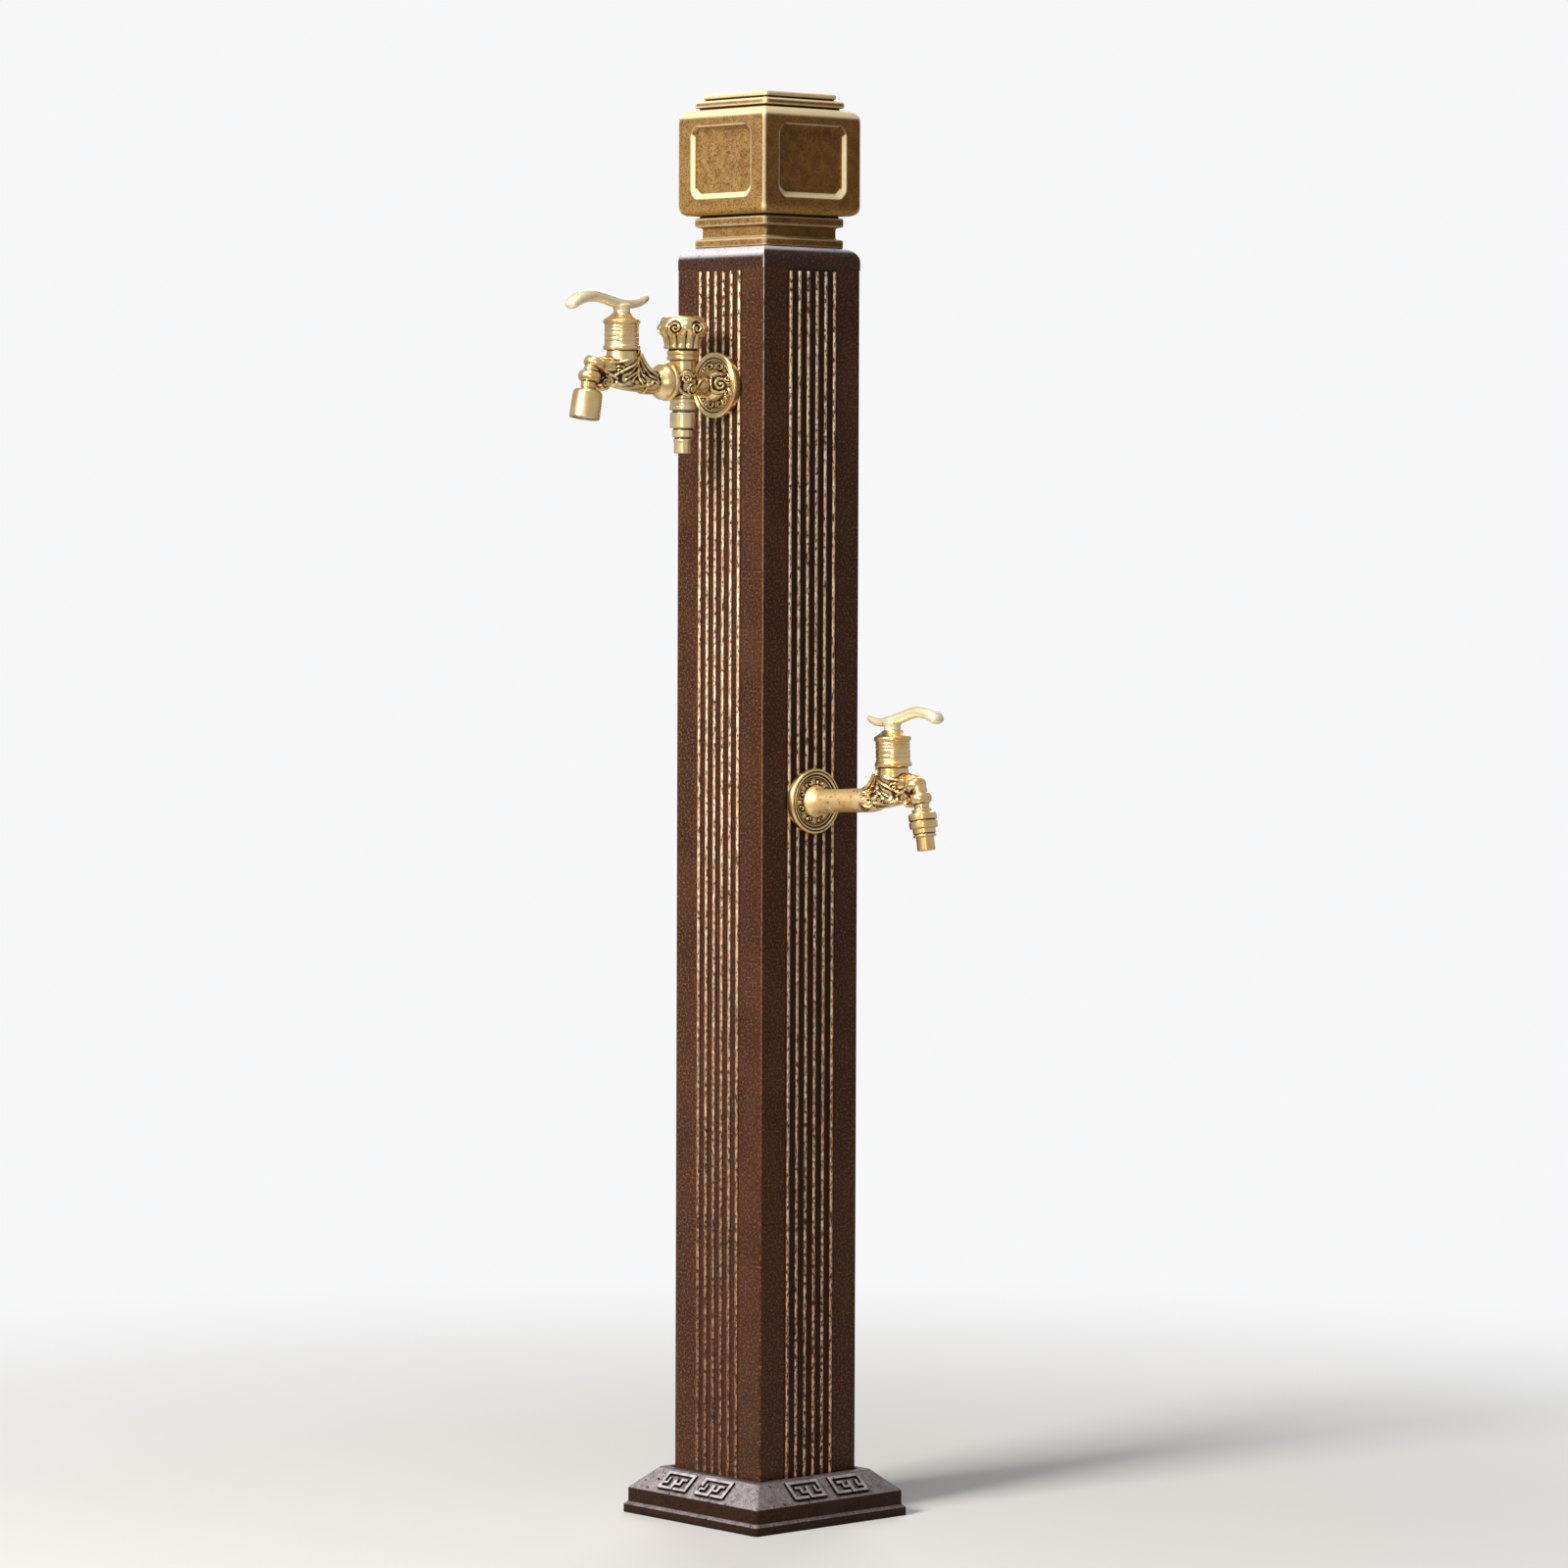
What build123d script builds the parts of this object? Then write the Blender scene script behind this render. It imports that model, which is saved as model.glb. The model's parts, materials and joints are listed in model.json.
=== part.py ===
from build123d import *
from math import cos, radians, sin, tan
import os

# Garden standpipe: a square ribbed post with a block cap and a plinth cover, an upper double tap on the
# -Y face and a lower long-nosed tap on the +X face, with the water way inside. Millimetres, +Z up, origin
# on the post's axis at ground level.

# General
mm = 1.0
run_fit = 0.05 * mm  # radial clearance of a shaft, a pipe or a thread in its hole
loose_fit = 0.3 * mm  # gap between plain faces of pieces that move apart
overrun = 2.0 * mm  # how far a cut runs past the face it opens
wall_overlap = 1.0 * mm  # how far a joined form is sunk into its carrier

# Post
height = 1100.0 * mm
post_side = 100.0 * mm
post_wall = 3.0 * mm
post_corner_r = 2.0 * mm
rib_count = 6
rib_pitch = 9.0 * mm
rib_r = 1.9 * mm
rib_height = 1.4 * mm
rib_end_gap = 2.0 * mm

# Cap and shoulder: each stage's inset from the post's faces, and its height
cap_height = 118.2 * mm
lip_inset, lip_h = 8.9 * mm, 6.4 * mm
neck_inset, neck_h = 13.0 * mm, 9.8 * mm
step_inset, step_h = 8.75 * mm, 8.6 * mm
upper_tier_inset, upper_tier_h = 8.45 * mm, 7.1 * mm
top_tier_inset, top_tier_h = 12.95 * mm, 5.4 * mm
block_proud, block_edge = 0.25 * mm, 6.0 * mm
panel_side_margin, panel_end_margin, panel_depth = 14.0 * mm, 11.45 * mm, 3.5 * mm
panel_bevel, panel_corner = 4.0 * mm, 7.0 * mm
cap_wall = 3.5 * mm
boss_r, boss_h = 9.0 * mm, 18.0 * mm
collar_h, collar_round = 17.0 * mm, 11.0 * mm
collar_web, collar_wall, plug_depth = 6.0 * mm, 3.0 * mm, 20.0 * mm
plug_gap = 0.3 * mm
tie_r, tie_depth_in_boss, tie_tail = 4.0 * mm, 16.0 * mm, 5.0 * mm
tie_nut_flats, tie_nut_h = 13.0 * mm, 6.5 * mm
tie_washer_r, tie_washer_t = 12.0 * mm, 1.6 * mm

# Plinth cover: ledge round the post, slope, upright band and foot lip
cover_ledge = 8.0 * mm
cover_slope_run, cover_slope_h = 18.2 * mm, 15.8 * mm
cover_band_h = 12.8 * mm
cover_lip_proud, cover_lip_h = 2.55 * mm, 7.2 * mm
cover_wall = 3.5 * mm
cover_gap = 0.8 * mm
cover_corner_r = 3.0 * mm
# Two raised key blocks on each slope, their middle shifted away from the corner between the taps
key_width, key_height, key_relief = 33.0 * mm, 17.5 * mm, 0.8 * mm
key_pitch, key_shift = 43.5 * mm, 4.0 * mm
# Raised strokes of one key block, as shares of its width and height: low corner and high corner
key_stroke_shares = (
    ((0.0, 0.0), (0.1, 1.0)),
    ((0.1, 0.84), (1.0, 1.0)),
    ((0.9, 0.0), (1.0, 0.84)),
    ((0.1, 0.0), (0.46, 0.15)),
    ((0.6, 0.0), (0.9, 0.15)),
    ((0.5, 0.0), (0.6, 0.66)),
    ((0.31, 0.29), (0.5, 0.42)),
    ((0.31, 0.42), (0.39, 0.7)),
    ((0.18, 0.56), (0.31, 0.7)),
    ((0.75, 0.29), (0.9, 0.42)),
    ((0.75, 0.42), (0.82, 0.66)),
)

# Ground plate and the socket that the post stands on
plate_gap, plate_t, plate_corner_r = 1.7 * mm, 6.0 * mm, 8.0 * mm
plate_ledge = 7.7 * mm
anchor_edge, anchor_r = 11.0 * mm, 5.5 * mm
socket_gap, socket_wall, socket_h, socket_web = 0.3 * mm, 4.0 * mm, 44.0 * mm, 6.0 * mm

# Countersunk screws of the post's foot and of the shoulder
screw_r, screw_head_r, screw_length = 2.4 * mm, 4.6 * mm, 9.0 * mm
screw_head_angle = 90
screw_edge = 14.0 * mm
foot_screw_height, collar_screw_drop = 26.0 * mm, 9.0 * mm

# Water way inside the post. One thread size serves the inlet and both taps
thread_r = 10.4 * mm
inlet_bore_r, inlet_thread = 7.0 * mm, 18.0 * mm
inlet_hex_rim, inlet_hex_h, inlet_top = 3.1 * mm, 8.0 * mm, 20.0 * mm
locknut_rim, locknut_h = 3.6 * mm, 7.0 * mm
riser_r, riser_wall, riser_grip = 8.0 * mm, 1.0 * mm, 12.0 * mm
run_r, run_reach = 11.5 * mm, 24.0 * mm
branch_wall, branch_grip, mouth_gap = 3.05 * mm, 12.0 * mm, 2.5 * mm
elbow_head = 12.0 * mm
wall_washer_rim, wall_washer_t = 4.6 * mm, 1.5 * mm

# Taps: the upper one's drop below the post's top, the lower one's height, and their common sizes
upper_drop, lower_height = 89.3 * mm, 557.0 * mm
lower_rise = 2.6  # degrees by which the lower tap's nose climbs outwards
shank_bore_r, shank_hole_gap = 6.5 * mm, 0.6 * mm
rosette_r, rosette_dish_r, rosette_dish_t = 25.5 * mm, 19.0 * mm, 3.0 * mm
rosette_rim_t = 6.0 * mm
tail_r, tail_bore_r = 8.5 * mm, 4.5 * mm
shoulder_rim, shoulder_length = 2.1 * mm, 11.0 * mm
long_pipe_start_r, long_pipe_end_r = 8.6 * mm, 9.5 * mm

# Double tap: its first valve's distance from the post's face, and the second's from the union's middle
knob_valve_at, lever_reach = 38.0 * mm, 41.0 * mm
ball_r, ball_low, ball_high = 12.3 * mm, 8.5 * mm, 11.0 * mm
ball_neck_wall, ball_neck_top = 2.6 * mm, 18.5 * mm
union_r, union_length, union_gap = 14.0 * mm, 14.8 * mm, 0.3 * mm
spigot_r, spigot_end_gap = 9.5 * mm, 2.5 * mm
union_seal_t, union_flange_r, union_flange_t = 1.5 * mm, 9.2 * mm, 3.0 * mm
upper_tail_r = 7.0 * mm

# Lever bodies: an egg-shaped body with an upright neck and a bent spout
egg_half_length, egg_r, egg_rise, egg_back = 21.0 * mm, 11.0 * mm, 3.5 * mm, 1.0 * mm
lever_neck_wall, lever_neck_top = 3.0 * mm, 25.0 * mm
spout_r, spout_bore_r, spout_bend_r = 7.2 * mm, 3.5 * mm, 9.0 * mm
spout_start, spout_rise = 5.0 * mm, 9.5 * mm
upper_spout_reach, upper_spout_drop, upper_spout_tilt = 33.3 * mm, 8.0 * mm, 10.0
lower_valve_at = 94.5 * mm
lower_spout_reach, lower_spout_drop, lower_spout_tilt = 30.5 * mm, 11.5 * mm, 8.0

# Hose nozzles: outline as shares of the length below the seat and of the widest radius
socket_r, socket_depth, nozzle_seal_t, nozzle_bore_r = 7.5 * mm, 5.5 * mm, 1.0 * mm, 4.0 * mm
nozzle_collar_r = 9.3 * mm
upper_nozzle_r, upper_nozzle_length = 10.0 * mm, 40.2 * mm
upper_nozzle_shares = (
    (0.93, 0.09), (1.0, 0.09), (1.0, 0.18), (0.87, 0.18), (0.87, 0.27), (0.95, 0.27), (0.95, 0.53),
    (0.84, 0.53), (0.84, 0.6), (0.65, 0.6), (0.65, 0.74), (0.72, 0.74), (0.72, 0.785), (0.65, 0.785),
    (0.65, 1.0),
)
lower_nozzle_r, lower_nozzle_length = 10.7 * mm, 26.0 * mm
lower_nozzle_shares = (
    (1.0, 0.1), (1.0, 0.19), (0.94, 0.19), (0.94, 0.24), (1.0, 0.24), (1.0, 0.41), (0.78, 0.41),
    (0.78, 0.55), (0.7, 0.55), (0.7, 0.6), (0.78, 0.6), (0.78, 0.64), (0.64, 0.64), (0.64, 1.0),
)

# Aerator
aerator_r, aerator_wall, aerator_length = 11.6 * mm, 1.5 * mm, 19.5 * mm
aerator_lip, aerator_lip_t, aerator_thread = 0.8 * mm, 1.5 * mm, 6.0 * mm
insert_length, insert_hole_r, insert_rings, insert_ring_pitch = 9.0 * mm, 1.1 * mm, 2, 3.4 * mm

# Quarter-turn valves. The neck and the stem stand up from the body's neck, at base
seat_floor, seat_r = 6.0 * mm, 3.6 * mm
disc_film, disc_slack = 0.1 * mm, 0.4 * mm
hex_rim, hex_gap = 0.3 * mm, 0.7 * mm
lever_valve = dict(
    bore_r=8.2 * mm, seal_t=1.5 * mm, disc_t=2.0 * mm, drive_t=2.0 * mm, spindle_r=4.0 * mm,
    base=lever_neck_top, hex_h=5.0 * mm, neck_wall=2.0 * mm, neck_h=15.0 * mm, stem_h=31.5 * mm,
)
knob_valve = dict(
    bore_r=7.2 * mm, seal_t=1.2 * mm, disc_t=1.8 * mm, drive_t=1.6 * mm, spindle_r=3.2 * mm,
    base=ball_neck_top, hex_h=3.5 * mm, neck_wall=1.8 * mm, neck_h=9.0 * mm, stem_h=25.5 * mm,
)
port_inner_share, port_outer_share, port_angle = 0.3, 0.75, 70

# Bonnets: ringed covers under the handles, a little wider than the neck that they stand on
lever_bonnet_rim, lever_bonnet_ring, lever_bonnet_h = 1.8 * mm, 1.0 * mm, 23.0 * mm
lever_bonnet_ring_h, lever_bonnet_cone, bonnet_wall = 3.5 * mm, 3.0 * mm, 2.5 * mm
knob_bonnet_rim, knob_bonnet_ring, knob_bonnet_h = 0.9 * mm, 1.3 * mm, 13.0 * mm
knob_bonnet_ring_h = 7.5 * mm

# Handles. Their heights count from the body's neck too
hub_r, hub_gap, hub_h = 6.5 * mm, 0.4 * mm, 35.0 * mm
lever_arm, lever_tail, lever_t = 53.7 * mm, 24.5 * mm, 4.6 * mm
lever_base_h, lever_rise = 32.0 * mm, 10.4 * mm
# The lever's middle line: shares of the arm (or, where negative, of the tail) and of the rise
lever_line_shares = (
    (-1.0, 0.48), (-0.73, 0.29), (-0.41, 0.24), (0.0, 0.34), (0.15, 0.53), (0.3, 0.77), (0.45, 0.95),
    (0.6, 1.0), (0.745, 0.85), (0.87, 0.63), (1.0, 0.24),
)
# Its half width in plan, as shares of the widest half width
lever_half_width = 6.6 * mm
lever_plan_shares = (
    (-1.0, 0.35), (-0.7, 0.55), (-0.3, 0.85), (0.0, 0.95), (0.2, 0.72), (0.45, 0.75), (0.72, 0.98),
    (0.86, 1.0), (0.96, 0.7), (1.0, 0.3),
)
knob_r, knob_hub_r, knob_h = 19.0 * mm, 6.0 * mm, 32.5 * mm
# The knob's outline above its hub, as shares of its radius and of its height
knob_outline_shares = (
    (0.6, 0.1), (0.72, 0.25), (0.86, 0.42), (0.97, 0.56), (1.0, 0.66), (0.92, 0.8), (0.78, 0.93),
    (0.6, 1.0),
)
grub_r, lever_grub_h, knob_grub_h, knob_grub_length = 1.9 * mm, 29.0 * mm, 16.0 * mm, 6.0 * mm

# Worked out from the sizes above
post_half = post_side / 2
post_inside = post_side - 2 * post_wall
collar_top = height - cap_height
post_top = collar_top - collar_h
block_side = post_side + 2 * block_proud
cover_ledge_side = post_side + 2 * cover_ledge
cover_band_side = cover_ledge_side + 2 * cover_slope_run
cover_band_top = cover_lip_h + cover_band_h
cover_top = cover_band_top + cover_slope_h
cover_opening = post_side + 2 * (rib_height + cover_gap)
plate_side = cover_band_side - 2 * (cover_wall + plate_gap)
anchor_spacing = plate_side - 2 * anchor_edge
socket_side = post_inside - 2 * socket_gap
socket_inside = socket_side - 2 * socket_wall
socket_top = plate_t + socket_h
screw_offset = post_half - screw_edge
collar_screw_height = post_top - collar_screw_drop
locknut_flats = 2 * (thread_r + locknut_rim)
branch_mouth = post_half - post_wall - wall_washer_t - locknut_h - mouth_gap
shank_end = branch_mouth - branch_grip
upper_height = post_top - upper_drop
rosette_back = rib_height
dish_front = rosette_back + rosette_dish_t
union_at = knob_valve_at + ball_r + union_gap + union_length / 2
upper_valve_at = union_at + lever_reach
ball_neck_r = knob_valve["bore_r"] + ball_neck_wall
lever_neck_r = lever_valve["bore_r"] + lever_neck_wall
knob_bonnet_top = ball_neck_top + knob_bonnet_h


def face_frame(out, up, origin):
    """A frame on one of the post's faces: x outwards, z up, y sideways."""
    return Plane(origin=origin, x_dir=out, z_dir=up)


def tipped(frame, along, rise, degrees):
    """The frame moved outwards and up, with its x axis lifted by degrees."""
    k = radians(degrees)
    return Plane(
        origin=frame.from_local_coords((along, 0, rise)),
        x_dir=frame.x_dir * cos(k) + frame.z_dir * sin(k),
        z_dir=frame.z_dir * cos(k) - frame.x_dir * sin(k),
    )


def upright(frame, along=0):
    """The plane that cuts a tap along its length: X outwards from along, Y up."""
    return Plane(origin=frame.from_local_coords((along, 0, 0)), x_dir=frame.x_dir, z_dir=-frame.y_dir)


def level_at(frame, along, rise):
    """A plane square to the frame's up axis."""
    return Plane(origin=frame.from_local_coords((along, 0, rise)), x_dir=frame.x_dir, z_dir=frame.z_dir)


def across_at(frame, along, rise=0):
    """A plane square to the frame's outward axis."""
    return Plane(origin=frame.from_local_coords((along, 0, rise)), x_dir=frame.y_dir, z_dir=frame.x_dir)


def turn_up(frame, along, points, mode=Mode.ADD):
    """Turns an outline of (radius, height) points about the frame's up axis at along."""
    plane = upright(frame, along)
    with BuildSketch(plane) as outline:
        with BuildLine():
            Polyline(points, close=True)
        make_face()
    revolve(outline.sketch, axis=Axis(plane.origin, plane.y_dir), mode=mode)


def turn_out(frame, points, mode=Mode.ADD):
    """Turns an outline of (distance outwards, radius) points about the frame's outward axis."""
    plane = upright(frame)
    with BuildSketch(plane) as outline:
        with BuildLine():
            Polyline(points, close=True)
        make_face()
    revolve(outline.sketch, axis=Axis(plane.origin, plane.x_dir), mode=mode)


def post_up(radius, low, high, mode=Mode.ADD):
    """A round bar on the post's axis from one height to another."""
    with BuildSketch(Plane.XY.offset(low)) as circle:
        Circle(radius)
    extrude(circle.sketch, amount=high - low, mode=mode)


def square_up(side, low, high, corner_r=0, mode=Mode.ADD):
    """A square bar on the post's axis from one height to another."""
    with BuildSketch(Plane.XY.offset(low)) as square:
        Rectangle(side, side)
        if corner_r:
            fillet(square.vertices(), corner_r)
    extrude(square.sketch, amount=high - low, mode=mode)


def taper_up(low_side, low, high_side, high, mode=Mode.ADD):
    """A square bar that narrows from one side at low to another at high."""
    with BuildSketch(Plane.XY.offset(low)) as foot:
        Rectangle(low_side, low_side)
    with BuildSketch(Plane.XY.offset(high)) as head:
        Rectangle(high_side, high_side)
    loft([foot.sketch, head.sketch], mode=mode)


def hexagon(plane, flats, thickness, mode=Mode.ADD):
    """A six-sided prism on a plane."""
    with BuildSketch(plane) as outline:
        RegularPolygon(flats / 2, 6, major_radius=False)
    extrude(outline.sketch, amount=thickness, mode=mode)


def round_bar(plane, radius, length, mode=Mode.ADD):
    """A round bar that starts on a plane."""
    with BuildSketch(plane) as circle:
        Circle(radius)
    extrude(circle.sketch, amount=length, mode=mode)


def save(part, name):
    """Labels a finished piece and writes it."""
    part.label = name
    export_step(part, f"parts/{name}.step")


def side_plane(quarter, distance, rise=0):
    """An upright plane at a distance from the post's axis, X sideways and Y up; quarter 0 faces +X."""
    out = Vector(1, 0, 0).rotate(Axis.Z, 90 * quarter)
    sideways = Vector(0, 1, 0).rotate(Axis.Z, 90 * quarter)
    return Plane(origin=out * distance + Vector(0, 0, rise), x_dir=sideways, z_dir=out)


def screw_holes(planes, rise, depth):
    """Two screw holes inwards from the post's inner face on each of the planes."""
    for plane in planes:
        for side in (-screw_offset, screw_offset):
            place = plane.from_local_coords((side, rise, -post_wall))
            inwards = Plane(place, plane.x_dir, -plane.z_dir)
            round_bar(inwards, screw_r + run_fit, depth, mode=Mode.SUBTRACT)


upper = face_frame((0, -1, 0), (0, 0, 1), (0, -post_half, upper_height))
lower = face_frame((1, 0, 0), (0, 0, 1), (post_half, 0, lower_height))
lower_nose = tipped(lower, 0, 0, lower_rise)
foot_faces = [side_plane(quarter, post_half) for quarter in range(4)]
back_faces = [side_plane(quarter, post_half) for quarter in (1, 2)]
os.makedirs("parts", exist_ok=True)


# Ground plate with its socket
with BuildPart() as ground_plate:
    square_up(plate_side, 0, plate_t, plate_corner_r)
    square_up(socket_side, plate_t, socket_top)
    square_up(socket_inside, plate_t, socket_top - socket_web, mode=Mode.SUBTRACT)
    square_up(socket_inside - 2 * plate_ledge, 0, plate_t, mode=Mode.SUBTRACT)
    post_up(thread_r + run_fit, socket_top - socket_web, socket_top, mode=Mode.SUBTRACT)
    with Locations((0, 0, plate_t)):
        with GridLocations(anchor_spacing, anchor_spacing, 2, 2):
            Hole(anchor_r, depth=plate_t)
    screw_holes(foot_faces, foot_screw_height, socket_gap + socket_wall)
save(ground_plate.part, "ground_plate")


# Plinth cover, loose round the post
with BuildPart() as base_cover:
    square_up(cover_band_side + 2 * cover_lip_proud, 0, cover_lip_h, cover_corner_r)
    square_up(cover_band_side, cover_lip_h, cover_band_top)
    taper_up(cover_band_side, cover_band_top, cover_ledge_side, cover_top)
    inner_side = cover_band_side - 2 * cover_wall
    slope_low = cover_band_top - cover_wall / 2
    square_up(inner_side, 0, slope_low, mode=Mode.SUBTRACT)
    inner_ledge_side = cover_ledge_side - 2 * cover_wall
    taper_up(inner_side, slope_low, inner_ledge_side, cover_top - cover_wall, mode=Mode.SUBTRACT)
    square_up(cover_opening, 0, cover_top, mode=Mode.SUBTRACT)
    slope_middle = (cover_band_side + cover_ledge_side) / 4
    for quarter in range(4):
        face = side_plane(quarter, slope_middle, cover_band_top + cover_slope_h / 2)
        normal = face.z_dir * cover_slope_h + Vector(0, 0, cover_slope_run)
        slope = Plane(origin=face.origin, x_dir=face.x_dir, z_dir=normal)
        with BuildSketch(slope.offset(-wall_overlap)) as keys:
            # Each side's blocks mirror those of its neighbours
            hand = (-1) ** quarter
            for side in (-key_pitch / 2, key_pitch / 2):
                for (x0, y0), (x1, y1) in key_stroke_shares:
                    across = side + key_shift + key_width * (x0 + x1 - 1) / 2
                    with Locations((hand * across, key_height * (y0 + y1 - 1) / 2)):
                        Rectangle(key_width * (x1 - x0), key_height * (y1 - y0))
        extrude(keys.sketch, amount=wall_overlap + key_relief)
save(base_cover.part, "base_cover")


# Post with its ribs
with BuildPart() as post:
    square_up(post_side, plate_t, post_top, post_corner_r)
    for k in range(4):
        with BuildSketch(Plane.XY.offset(plate_t)) as ribs:
            with Locations(Location((0, 0, 0), (0, 0, 90 * k))):
                with Locations((post_half + rib_height - rib_r, 0)):
                    with GridLocations(0, rib_pitch, 1, rib_count):
                        Circle(rib_r)
        extrude(ribs.sketch, amount=post_top - rib_end_gap - plate_t)
    square_up(post_inside, plate_t, post_top, mode=Mode.SUBTRACT)
    for frame in (upper, lower):
        hole_r = thread_r + shank_hole_gap
        round_bar(across_at(frame, -post_wall), hole_r, post_wall + overrun, mode=Mode.SUBTRACT)
    for planes, rise in ((foot_faces, foot_screw_height), (back_faces, collar_screw_height)):
        for plane in planes:
            with Locations(plane):
                with Locations((-screw_offset, rise), (screw_offset, rise)):
                    CounterSinkHole(screw_r + run_fit, screw_head_r + run_fit, post_wall, screw_head_angle)
save(post.part, "post")


def countersunk_screws(planes, rise):
    """Two flush screws at one height on each of the planes."""
    head_h = (screw_head_r - screw_r) / tan(radians(screw_head_angle / 2))
    with BuildPart() as screws:
        for plane in planes:
            for side in (-screw_offset, screw_offset):
                seat = plane.from_local_coords((side, rise, 0))
                cut = Plane(seat, x_dir=plane.x_dir, z_dir=-plane.y_dir)
                with BuildSketch(cut) as half:
                    with BuildLine():
                        Polyline([
                            (0, 0), (screw_head_r, 0), (screw_r, -head_h), (screw_r, -screw_length),
                            (0, -screw_length),
                        ], close=True)
                    make_face()
                revolve(half.sketch, axis=Axis(cut.origin, cut.y_dir))
    return screws.part


save(countersunk_screws(foot_faces, foot_screw_height), "post_screws")
save(countersunk_screws(back_faces, collar_screw_height), "collar_screws")


# Rounded shoulder, plugged into the post's top
with BuildPart() as post_collar:
    square_up(post_side, post_top, collar_top)
    fillet(post_collar.faces().sort_by(Axis.Z)[-1].edges(), collar_round)
    plug_side = post_inside - 2 * plug_gap
    square_up(plug_side, post_top - plug_depth, post_top)
    square_up(plug_side - 2 * collar_wall, post_top - plug_depth, collar_top - collar_web, mode=Mode.SUBTRACT)
    post_up(tie_r + loose_fit, collar_top - collar_web, collar_top, mode=Mode.SUBTRACT)
    screw_holes(back_faces, collar_screw_height, plug_gap + collar_wall)
save(post_collar.part, "post_collar")


# Block cap, hollow, with a boss for its tie rod
with BuildPart() as cap:
    lip_top = collar_top + lip_h
    neck_top = lip_top + neck_h
    block_low = neck_top + step_h
    tier_low = height - top_tier_h
    block_top = tier_low - upper_tier_h
    panel_width = block_side - 2 * panel_side_margin
    panel_height = block_top - block_low - 2 * panel_end_margin
    square_up(block_side, block_low, block_top)
    fillet(cap.edges().filter_by(Axis.Z), block_edge)
    chamfer(cap.faces().filter_by(Axis.Z).edges(), block_edge / 2)
    for inset, low, high in (
        (lip_inset, collar_top, lip_top), (neck_inset, lip_top, neck_top), (step_inset, neck_top, block_low),
        (upper_tier_inset, block_top, tier_low), (top_tier_inset, tier_low, height),
    ):
        square_up(post_side - 2 * inset, low, high)
    for quarter in range(4):
        face = side_plane(quarter, block_side / 2, (block_low + block_top) / 2)
        with BuildSketch(face) as mouth:
            Rectangle(panel_width, panel_height)
            chamfer(mouth.vertices(), panel_corner)
        with BuildSketch(face.offset(-panel_depth)) as floor:
            Rectangle(panel_width - 2 * panel_bevel, panel_height - 2 * panel_bevel)
            chamfer(floor.vertices(), panel_corner)
        loft([floor.sketch, mouth.sketch], mode=Mode.SUBTRACT)
    hollow_low, hollow_top = block_low + cap_wall, block_top - cap_wall
    square_up(post_side - 2 * (neck_inset + cap_wall), collar_top, hollow_low, mode=Mode.SUBTRACT)
    square_up(block_side - 2 * (cap_wall + panel_depth), hollow_low, hollow_top, mode=Mode.SUBTRACT)
    boss_low = hollow_top - boss_h
    post_up(boss_r, boss_low, hollow_top)
    post_up(tie_r + run_fit, boss_low, boss_low + tie_depth_in_boss + wall_overlap, mode=Mode.SUBTRACT)
save(cap.part, "cap")

web_low = collar_top - collar_web
with BuildPart() as cap_washer:
    post_up(tie_washer_r, web_low - tie_washer_t, web_low)
    post_up(tie_r + loose_fit, web_low - tie_washer_t, web_low, mode=Mode.SUBTRACT)
save(cap_washer.part, "cap_washer")

nut_low = web_low - tie_washer_t - tie_nut_h
with BuildPart() as cap_nut:
    hexagon(Plane.XY.offset(nut_low), tie_nut_flats, tie_nut_h)
    post_up(tie_r + run_fit, nut_low, nut_low + tie_nut_h, mode=Mode.SUBTRACT)
save(cap_nut.part, "cap_nut")

with BuildPart() as cap_tie_rod:
    post_up(tie_r, nut_low - tie_tail, boss_low + tie_depth_in_boss)
save(cap_tie_rod.part, "cap_tie_rod")


# Supply connection, clamped in the socket's web
inlet_hex_low = socket_top - socket_web - inlet_hex_h
thread_low = inlet_hex_low - inlet_thread
inlet_head = socket_top + inlet_top
with BuildPart() as inlet_fitting:
    post_up(thread_r, thread_low, inlet_head)
    hexagon(Plane.XY.offset(inlet_hex_low), 2 * (thread_r + inlet_hex_rim), inlet_hex_h)
    post_up(inlet_bore_r, thread_low, inlet_head, mode=Mode.SUBTRACT)
    post_up(riser_r + run_fit, inlet_head - riser_grip, inlet_head, mode=Mode.SUBTRACT)
save(inlet_fitting.part, "inlet_fitting")

with BuildPart() as inlet_locknut:
    hexagon(Plane.XY.offset(socket_top), locknut_flats, locknut_h)
    post_up(thread_r + run_fit, socket_top, socket_top + locknut_h, mode=Mode.SUBTRACT)
save(inlet_locknut.part, "inlet_locknut")


def riser_pipe(low, high):
    """A straight pipe on the post's axis."""
    with BuildPart() as pipe:
        post_up(riser_r, low, high)
        post_up(riser_r - riser_wall, low, high, mode=Mode.SUBTRACT)
    return pipe.part


save(riser_pipe(inlet_head - riser_grip, lower_height - run_reach + riser_grip), "riser_lower")
save(riser_pipe(lower_height + run_reach - riser_grip, upper_height - run_reach + riser_grip), "riser_upper")


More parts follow.
